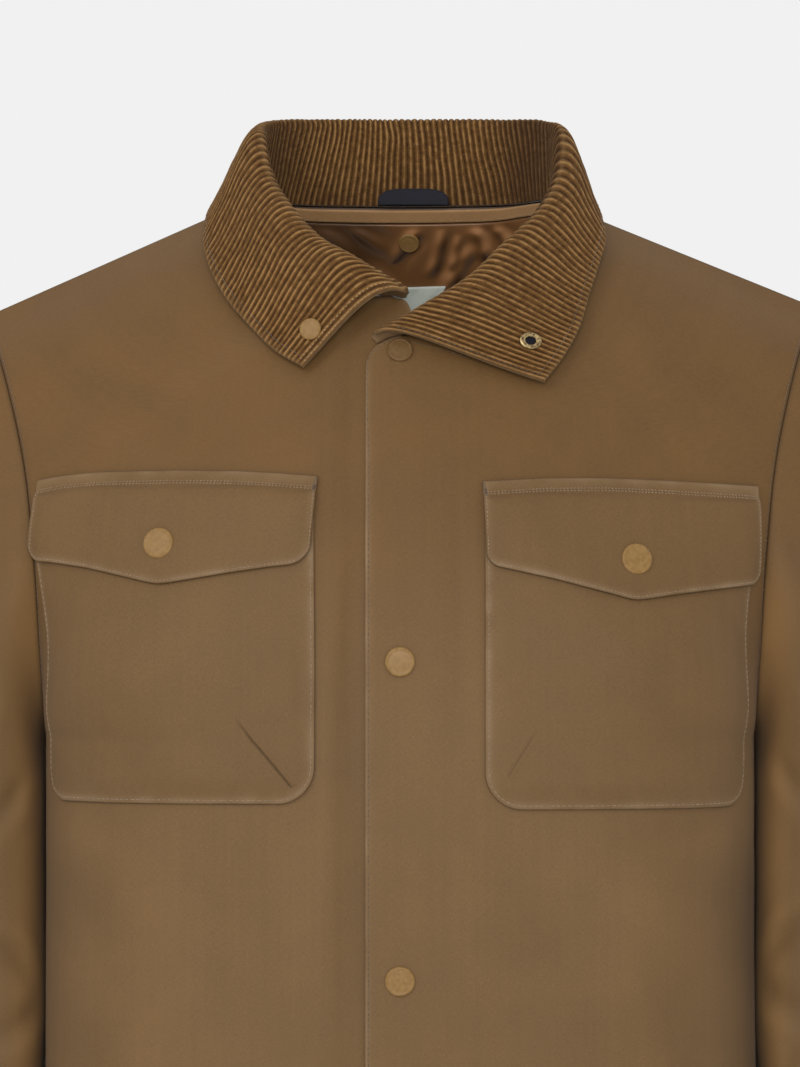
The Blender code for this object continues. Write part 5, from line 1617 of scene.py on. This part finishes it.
def collar_middle(wales, places):
    """Points halfway through the collar at its wales, and at places from the neck seam over the roll."""
    one, two = neck_halves()
    share = 2.0 * wales / WALES
    first = along(one, np.minimum(share, 1.0) * lengths(one)[-1])
    second = along(two, np.maximum(share - 1.0, 0.0) * lengths(two)[-1])
    neck = np.where((share <= 1.0)[:, None], first, second)
    rows = np.array([read(COLLAR, wale) for wale in wales])
    roll, edge, fullness = rows[:, :3], rows[:, 3:6], rows[:, 6:]
    lean = np.linalg.norm(unit(roll - neck)[:, :2], axis=1)
    neck = neck + np.stack([0.0 * lean, 0.0 * lean, SEAM + lean * COLLAR_WALL / 2.0], -1)
    out = unit(unit(edge - roll) - unit(neck - roll))
    bow = LEAF_BOW * (1.0 - ease((WALES - wales) / LEAF_BOW_WALES))
    backward = bow[:, None] * unit(np.cross(edge - roll, out))
    low = edge + HANDLE * (roll - edge) + LEAF_BOW_LOW * backward
    stand = (neck, neck + HANDLE * (roll - neck), roll - STAND_FULLNESS * fullness * out, roll)
    leaf = (roll, roll + fullness * out + backward, low, edge)
    grid = []
    for place in places:
        corners, t = (stand, place) if place <= 1.0 else (leaf, place - 1.0)
        rest = 1.0 - t
        weights = (rest**3, 3.0 * rest**2 * t, 3.0 * rest * t**2, t**3)
        grid.append(sum(weight * corner for weight, corner in zip(weights, corners)))
    grid = np.array(grid)
    leaf_rows = np.asarray(places) > 1.0
    for side in SIDES:
        top = fronts[side].outer[..., 2].max() - SHOULDER_LINE
        heights, xs, table = front_depth(side, top)
        own = grid[..., 0] > -LAP_PAST if side == "left" else grid[..., 0] <= -LAP_PAST
        own = own & leaf_rows[:, None] & (grid[..., 1] <= 0.0) & (grid[..., 2] <= top)
        point = grid[own]
        i = np.clip((point[:, 2] - heights[0]) / DEPTH_STEP, 0.0, len(heights) - 1.001)
        j = np.clip((point[:, 0] - xs[0]) / DEPTH_STEP, 0.0, len(xs) - 1.001)
        limit = bilinear(table, i, j)[:, 0] - LEAF_CLEAR
        grid[own, 1] = limit - np.logaddexp(0.0, (limit - point[:, 1]) / LEAF_SOFT) * LEAF_SOFT
    return grid


COLLAR_CUT = (0.47, 0.135)  # width and length of the cloth of its face and of its under side
LEAF_ROW = 0.0037  # the row of stitches along the leaf's edge
END_ROW = 0.0030  # rows beside the collar's ends
GOLD_ROWS = (0.36, 1.15)  # the rows beside its right end, as shares of that
CREST, PALE_CREST = 0.72, 2.4  # powers that shape a wale and the pale line along it, rubbed pile with a painted highlight


def collar_form():
    """The collar's middle with its wales swaying a little, its normals, and its columns and rows."""
    wales = np.arange(WALES * WALE_STEPS + 1) / WALE_STEPS
    leaf = np.concatenate([np.linspace(0.0, 0.94, 38), [0.96, 0.972, 0.982, 0.989, 0.995, 1.0]])
    places = np.concatenate([np.linspace(0.0, 1.0, 22)[:-1], 1.0 + leaf])
    sway = np.stack(np.broadcast_arrays(places[:, None] * 0.9, wales[None, :] * 0.07, 0.0), -1)
    ends = ease(np.minimum(wales, WALES - wales) / 4.0)[None, :]
    shift = WALE_STEPS * 0.30 * ends * (noise(sway, 0.5, 51) + 0.5 * noise(sway * 2.7, 0.5, 52))
    number = np.arange(len(wales))[None, :] + shift * ease(places / 0.3)[:, None]
    grid = cubic_columns(collar_middle(wales, places), np.clip(number, 0, len(wales) - 1))
    return grid, normals_of(grid), wales, places


def from_ends(grid):
    """How far each point lies from the nearer end of its row."""
    return np.minimum(run_of(grid, 0), -run_of(grid, grid.shape[1] - 1))


def add_corduroy(grid, normals, wales, places, run):
    """The collar's face, a wall off its middle, with the wales raised on it."""
    shape = grid.shape[:2]
    cells, flat, out, away = as_lists(grid, normals)
    place = np.broadcast_to(places[:, None], shape).reshape(-1)
    wale = np.broadcast_to(wales, shape).reshape(-1)
    away = np.where(place < 0.5, from_ends(grid).reshape(-1), away)
    soft = 0.00035 * noise(flat, 0.020, 53) + 0.00015 * noise(flat, 0.008, 54)
    flat = flat + out * (soft * ease(away / 0.006))[:, None]
    along_wale = np.stack([np.floor(wale) * 1.0, place * 12.0, 0.0 * place], -1)
    swell = 1.0 + 0.16 * noise(along_wale, 1.0, 55)
    wave = np.abs(np.sin(math.pi * wale))
    half = COLLAR_WALL / 2.0 * rounded(away, COLLAR_ROUND)
    rise = (-0.00055 + WALE_DEPTH * (wave**CREST * swell)) * (0.30 + 0.70 * ease(away / 0.0022))
    face = flat + out * (half + rise)[:, None]
    uv = np.stack([wale * WALE_WIDTH, np.broadcast_to(run[:, None], shape).reshape(-1)], -1)
    rubbed = np.exp(-away / 0.0014) + 0.5 * bell(place - 1.0, 0.05)
    # painted shade inside the stand, toward its sides where the leaves shade it and low near the neck
    # seam
    strength = np.where(flat[:, 0] > 0.0, 0.62, 0.50)
    painted_shade = strength * past(np.abs(flat[:, 0]), 0.040, 0.034) * ease((0.98 - place) / 0.10)
    painted_shade = np.maximum(painted_shade, 0.35 * ease((0.40 - place) / 0.40))
    values = (("pile", wave**PALE_CREST * swell), ("wear", np.clip(rubbed, 0.0, 1.0)), ("shade", painted_shade))
    made = add_mesh("corduroy_collar", face, facing_out(cells, face, out), [CORD], uv, values=values)
    return dress(made, "collar"), face.reshape(grid.shape), surface_area(grid, cells)


def add_under_collar(grid, normals, wales, places, run):
    """Waxed cotton under the corduroy, which shows as a thin edge past it."""
    every = WALE_STEPS // 2
    lower, tilt = grid[:, ::every].copy(), normals[:, ::every]
    lower[:, 0] += 0.00050 * unit(lower[:, 0] - lower[:, 1])
    lower[:, -1] += 0.00050 * unit(lower[:, -1] - lower[:, -2])
    lower[-1] += 0.00022 * unit(lower[-1] - lower[-2])
    gone = as_lists(lower, tilt)[3].reshape(lower.shape[:2])
    gone = np.where((places < 0.5)[:, None], from_ends(lower), gone)
    deep = (COLLAR_WALL / 2.0 * rounded(gone, COLLAR_ROUND))[..., None]
    sheet = np.concatenate([lower[:1] + 0.7 * tilt[:1] * deep[:1], lower - tilt * deep])
    cells, points = open_cells(sheet), sheet.reshape(-1, 3)
    below = np.concatenate([tilt[:1], tilt]).reshape(-1, 3)
    down_run = np.concatenate([run[:1], run])
    uv = np.stack(np.broadcast_arrays((wales[::every] * WALE_WIDTH)[None, :], down_run[:, None]), -1)
    worn = 0.45 * np.exp(-np.concatenate([gone[:1], gone]).reshape(-1) / 0.001)
    made = add_mesh("under_collar", points, facing_out(cells, points, -below), [UNDER_CLOTH],
                    uv.reshape(-1, 2), values=(("wear", worn), ("shade", 0.0 * worn)))
    return made


def add_collar():
    """Corduroy on its face and waxed cotton under it, its stitches, its snap and the snap's socket."""
    grid, normals, wales, places = collar_form()
    run = lengths(grid[:, len(wales) // 2])
    corduroy_face, face, area = add_corduroy(grid, normals, wales, places, run)
    plain = add_under_collar(grid, normals, wales, places, run)

    numbers = np.arange(len(places))
    rows = range(int(np.searchsorted(places, 1.10)), len(places) - 4)
    inset = END_ROW / lengths(grid[-1, : WALE_STEPS + 1])[-1] * WALE_STEPS
    leaf_length = np.linalg.norm(np.diff(grid[places > 1.0], axis=0), axis=2).sum(axis=0)
    outer = [(np.interp(2.0 - LEAF_ROW / leaf_length[j], places, numbers), j)
             for j in range(int(inset), len(wales) - int(inset), 4)]

    def on_face(spots):
        return face_at(face, normals, *np.array(spots, float).T)

    hidden = [on_face([(i, inset) for i in rows]), on_face(outer)]
    gold = [on_face([(i, len(wales) - 1 - each * inset) for i in rows]) for each in GOLD_ROWS]
    stitches = [
        add_stitches("stitch_collar", hidden, THREAD_PILE, 0.0031, radius=0.00028, seed=57),
        add_stitches("stitch_leaf", gold, THREAD_CORD, 0.0024, 0.0012, 0.00030, 58),
    ]
    add_sheet(COLLAR_CUT, area)
    add_sheet(COLLAR_CUT, area)

    def spot(wale, place):
        i, j = np.interp(place, places, numbers), wale * WALE_STEPS
        points, ups = face_at(grid, normals, np.array([i]), np.array([j]))
        return points[0] + ups[0] * (COLLAR_WALL / 2.0 + 0.0004), ups[0]

    add_cap("cap_collar", "snap_collar", *spot(*COLLAR_SNAP), SMALL_SNAP_RADIUS, ENAMEL)
    add_socket(*spot(*COLLAR_SOCKET))


add_collar()

# ---------------------------------------------------------------- back neck

LINING_MARKS = (
    (-0.066, -0.020, -0.030, -0.060, 3.0, 1.8, 5.0),
    (-0.052, -0.014, -0.022, -0.034, 3.0, 1.6, 4.0),
    (-0.035, -0.012, -0.004, -0.030, 2.0, 1.4, 3.5),
    (-0.022, -0.030, 0.006, -0.064, 2.0, 1.6, 5.0),
    (0.013, -0.012, -0.008, -0.036, -1.0, 1.4, 3.5),
    (0.024, -0.012, 0.016, -0.042, 2.0, 1.6, 3.2),
    (0.040, -0.012, 0.050, -0.034, 3.0, 2.0, 3.4),
    (0.052, -0.012, 0.066, -0.030, 2.0, 1.5, 3.0),
    (0.044, -0.022, 0.026, -0.052, -2.0, 1.8, 4.0),
    (0.033, -0.016, 0.029, -0.038, 1.0, 1.4, 2.6),
    (0.030, -0.045, 0.008, -0.070, 2.0, 1.6, 5.0),
    (0.060, -0.040, 0.035, -0.085, 3.0, 1.6, 6.0),
)
LABEL_MARKS = (
    (-0.004, -0.034, 0.002, -0.070, 1.0, 0.6, 5.0),
    (0.018, -0.034, 0.012, -0.070, 1.0, 0.5, 4.0),
)
MODEL_STEP = 3.0  # the base's rows or columns to one of the model's


def inside_back(down, column):
    """Points and normals on the back's inner face, counted in the model's steps from neck and centre."""
    i = np.interp(ALL_ROWS - MODEL_STEP * down, back_rows, np.arange(len(back_rows)))
    j = np.interp(BACK_COLUMNS + MODEL_STEP * column, back_columns, np.arange(len(back_columns)))
    points, normals = face_at(back.inner, back.out.reshape(back.grid.shape), i, j)
    return points, -normals


def add_inside(name, node, rows, columns, off, marks, paint, shadow_paint=(0.0, 0.0, 1.0)):
    """Thin cloth against the back's inside, its face toward the neck, with painted highlight and shade on
    its folds.
    The last argument is a painted shadow toward the wearer's right: how dark, where it starts and over
    what length."""
    points, normals = inside_back(*np.meshgrid(rows, columns, indexing="ij"))
    cells, flat, out, away = as_lists(points, normals)
    rise = np.maximum(relief(flat[:, [0, 2]], marks), -0.0004) * ease(away / 0.006)
    raised = rise.reshape(points.shape[:2])
    upward = np.gradient(raised, axis=0) / np.gradient(points[..., 2], axis=0)
    sideways = np.gradient(raised, axis=1) / np.maximum(np.abs(np.gradient(points[..., 0], axis=1)), 1e-5)
    # painted light: folds turned up toward the light get a painted highlight, those turned down painted
    # shade
    turned = 2.4 * (0.6 * sideways - upward).reshape(-1)
    middle = flat + out * (off + TRIM_WALL / 2.0 + rise)[:, None]
    half = TRIM_WALL / 2.0 * rounded(away, TRIM_ROUND)
    uv = np.stack([run_of(points, points.shape[1] // 2).reshape(-1), flat[:, 2]], -1)
    dark, begins, over = shadow_paint
    # the painted shadow, which holds back the highlight and deepens the shade
    painted_shade = dark * ease((begins - flat[:, 0]) / over)
    wear = np.clip(turned, 0.0, 0.9) * (1.0 - painted_shade)
    shade = np.maximum(np.clip(-turned, 0.0, 0.85), painted_shade)
    made = add_shell(name, middle, out, half, facing_out(cells, middle, out), [paint], uv,
                     (("wear", wear), ("shade", shade)))
    dress(made, node)
    return made, Skin(middle + out * half[:, None], cells), surface_area(middle, cells)


LOOP_Y = 0.0612
LOOP_FOOT = -0.0022
LOOP_MIDDLE = 0.0075
LOOP_REACH = 0.0200
LOOP_HEIGHT = 0.0098


def add_loop():
    """The hanger loop's top, which bows out of the seam under the collar."""
    turn = np.linspace(-1.0, 1.0, 61)
    height = LOOP_HEIGHT * (0.25 + 0.75 * np.sqrt(np.maximum(1.0 - turn**4, 0.0)))
    z = LOOP_FOOT + np.linspace(0.0, 1.0, 13)[:, None] * height[None, :]
    x = np.broadcast_to(LOOP_MIDDLE + LOOP_REACH * turn, z.shape)
    y = LOOP_Y + 0.30 * (z - LOOP_FOOT) - 0.05 * (x - LOOP_MIDDLE) ** 2 / LOOP_REACH
    grid = np.stack([x, y - TRIM_WALL / 2.0, z], -1)
    cells, flat, out, away = as_lists(grid, turned_to(normals_of(grid), FORWARD))
    half = TRIM_WALL / 2.0 * rounded(away, TRIM_ROUND)
    loop = add_shell("twill_loop", flat, out, half, facing_out(cells, flat, out), [NAVY], flat[:, [0, 2]],
                     (("wear", 0.0 * away),))
    dress(loop, "hanger_loop")
    add_sheet((0.040, 0.010), surface_area(grid, cells))


def add_back_neck():
    rows = np.concatenate([[0.0, 0.008, 0.02], np.linspace(0.04, 0.21, 8), [0.23, 0.244, 0.25]])
    facing, skin, area = add_inside("cloth_facing", "neck_facing", rows, np.linspace(-3.75, 3.75, 100),
                                    INSIDE_GAP, (), FACING_CLOTH)
    columns = np.linspace(-3.7, 3.7, 130)
    points, normals = inside_back(0.205 + 0.0 * columns, columns)
    stitches = add_stitches("stitch_facing", [(skin.onto(points, normals), normals)], THREAD_CORD, 0.0026,
                            0.0015, seed=61)
    add_sheet((0.190, 0.010), area)
    # the lining gets a painted shadow toward the wearer's right, where the collar's leaf shades it
    lining, skin, area = add_inside("satin_lining_cloth", "lining", np.linspace(0.27, 4.3, 110),
                                    np.linspace(-5.0, 5.0, 190), INSIDE_GAP, LINING_MARKS, SATIN,
                                    (0.66, 0.010, 0.034))
    add_sheet((0.26, 0.115), area)
    off = INSIDE_GAP + TRIM_WALL + 0.0012
    # the label gets a painted shadow toward the wearer's right, under the collar
    label, _, area = add_inside("blank_label", "label", np.linspace(1.56, 2.53, 30),
                                np.linspace(-1.34, 1.62, 60), off, LABEL_MARKS, LABEL,
                                (0.80, 0.006, 0.008))
    add_sheet((0.068, 0.029), area)
    point, normal = inside_back(np.array([0.62]), np.array([0.25]))
    centre = skin.onto(point, normal)[0]
    add_cap("cap_lining", "snap_lining", centre, normal[0], SMALL_SNAP_RADIUS, ENAMEL)
    add_loop()


add_back_neck()

# ---------------------------------------------------------------- stitches on the body


def inset_line(panel, rows, columns):
    """Points of a panel's outer face and its normals at row and column numbers."""
    rows, columns = np.broadcast_arrays(np.asarray(rows, float), np.asarray(columns, float))
    return face_at(panel.outer, panel.out.reshape(panel.grid.shape), rows, columns)


def number_at(line, distance):
    """How many points along a line this distance lies."""
    run = lengths(line)
    return np.interp(distance, run, np.arange(len(run)))


def from_edge(panel, row, distance, last=False):
    """Column number this far from the first or last edge along a row."""
    line = panel.outer[row]
    number = number_at(line[::-1] if last else line, distance)
    return len(line) - 1 - number if last else number


def side_line(panel, rows, last):
    """Stitches beside a seam, from the armpit up."""
    numbers = np.arange(nearest_to(rows, BODY_ROWS) + 3, len(rows) - 6)
    return inset_line(panel, numbers, [from_edge(panel, row, SEAM_ROW, last) for row in numbers])


def hem_line(panel, column):
    """Stitches along a hem, as high as they are at this column."""
    height = number_at(panel.outer[:, column], HEM_ROW)
    return inset_line(panel, height, np.arange(6.0, panel.outer.shape[1] - 6.0))


def placket_line():
    """Up the placket's edge and round its corner, at even steps."""
    panel = fronts["left"]
    rows = np.arange(4, neck_row - 7)
    columns = [from_edge(panel, row, EDGE_ROW) for row in rows]
    over = np.arange(int(columns[-1]) + 1, strip_column + 14)
    over_rows = [neck_row - number_at(panel.outer[neck_row::-1, j], EDGE_ROW * 1.15) for j in over]
    parts = inset_line(panel, rows, columns), inset_line(panel, over_rows, over)
    path, normals = (np.concatenate(each) for each in zip(*parts))
    even = evenly(path, 0.0012)
    run, spots = lengths(path), np.linspace(0.0, lengths(path)[-1], len(even))
    return even, unit(between(spots, run, normals))


def shoulder_line(last):
    """Stitches along the back's shoulder seam, out from the neck."""
    reach = nearest_to(back_columns, BACK_COLUMNS + BACK_COLUMNS * NECK_PART)
    top, wide = back.outer.shape[0] - 1, back.outer.shape[1]
    columns = np.arange(reach + 2, wide - 6)
    columns = columns if last else wide - 1 - columns
    return inset_line(back, [top - number_at(back.outer[::-1, j], SEAM_ROW) for j in columns], columns)


def add_body_stitches():
    def sew(name, node, lines, seed):
        thread_on[node].append(add_stitches(name, lines, THREAD_CLOTH, seed=seed))

    sew("stitch_placket", "front_left", [placket_line()], 71)
    for side in SIDES:
        front, sleeve = fronts[side], sleeves[side]
        lines = [side_line(front, front_rows, True), hem_line(front, -20)]
        sew(f"stitch_front_{side}", front.name, lines, 73)
        rows, columns = sleeve.outer.shape[:2]
        row = rows - 1 - number_at(sleeve.outer[::-1, 20], CUFF_ROW)
        cuff = inset_line(sleeve, row, np.arange(0.0, columns - 1.0))
        sew(f"stitch_sleeve_{side}", sleeve.name, [cuff], 79)
    lines = [side_line(back, back_rows, last) for last in (False, True)]
    lines += [hem_line(back, 60), *(shoulder_line(last) for last in (False, True))]
    sew("stitch_back", "back", lines, 83)


add_body_stitches()
# width and length of the cloth each panel is cut from
CUTS = {"front": (0.300, 0.760), "back": (0.560, 0.760), "sleeve": (0.420, 0.640)}
for panel in panels:
    area = surface_area(panel.middle, panel.cells)
    flat = CUTS[panel.name.split("_")[0]]
    add_sheet(flat, area)

# ---------------------------------------------------------------- camera and light

SENSOR = 36.0
DISTANCE = 3.0  # from the camera to the chest
SEEN_HEIGHT = 0.5655  # of the picture there
CHEST_Y = -0.13

camera_data = bpy.data.cameras.new("camera")
camera_data.sensor_fit = "VERTICAL"
camera_data.sensor_height = SENSOR
camera_data.lens = SENSOR * DISTANCE / SEEN_HEIGHT
camera = bpy.data.objects.new("camera", camera_data)
camera.location = (0.0, CHEST_Y - DISTANCE, EYE_HEIGHT)
camera.rotation_euler = (math.radians(90.0), 0.0, 0.0)
bpy.context.scene.collection.objects.link(camera)
bpy.context.scene.camera = camera

world = bpy.data.worlds.new("studio")
world.use_nodes = True
world.node_tree.nodes["Background"].inputs["Color"].default_value = rgb(BACKDROP, BACKDROP, BACKDROP)
bpy.context.scene.world = world
bpy.context.scene.view_settings.view_transform = "Standard"


def add_light(name, place, target_height, size, power):
    """A round light that looks at a height on the z axis."""
    data = bpy.data.lights.new(name, "AREA")
    data.shape = "DISK"
    data.size = size
    data.energy = power
    made = bpy.data.objects.new(name, data)
    made.location = place
    aim = unit(np.array([0.0, 0.0, target_height]) - np.array(place, float))
    flat = math.hypot(aim[0], aim[1])
    made.rotation_euler = (math.atan2(flat, -aim[2]), 0.0, math.atan2(-aim[0], aim[1]))
    bpy.context.scene.collection.objects.link(made)


add_light("key_light", (-1.3, -2.2, 1.1), -0.25, 1.3, 18.0)
add_light("front_light", (0.0, -3.3, 0.35), -0.2, 0.9, 40.0)
add_light("rear_light", (0.6, 2.4, 1.2), -0.3, 1.6, 14.0)

bpy.ops.mesh.primitive_plane_add(size=3.4, location=(0.0, 0.0, HEM_Z - 0.06))
floor = bpy.context.object
floor.name = "studio_floor"
floor_paint = Paint("floor_paper")
floor_tone = floor_paint.noise(floor_paint.place(3.0), 2.0)
floor_colour = floor_paint.ramp(floor_tone, (0.3, (0.80, 0.80, 0.80)), (0.7, (0.84, 0.84, 0.84)))
floor.data.materials.append(floor_paint.finish(Base_Color=floor_colour, Roughness=0.9))
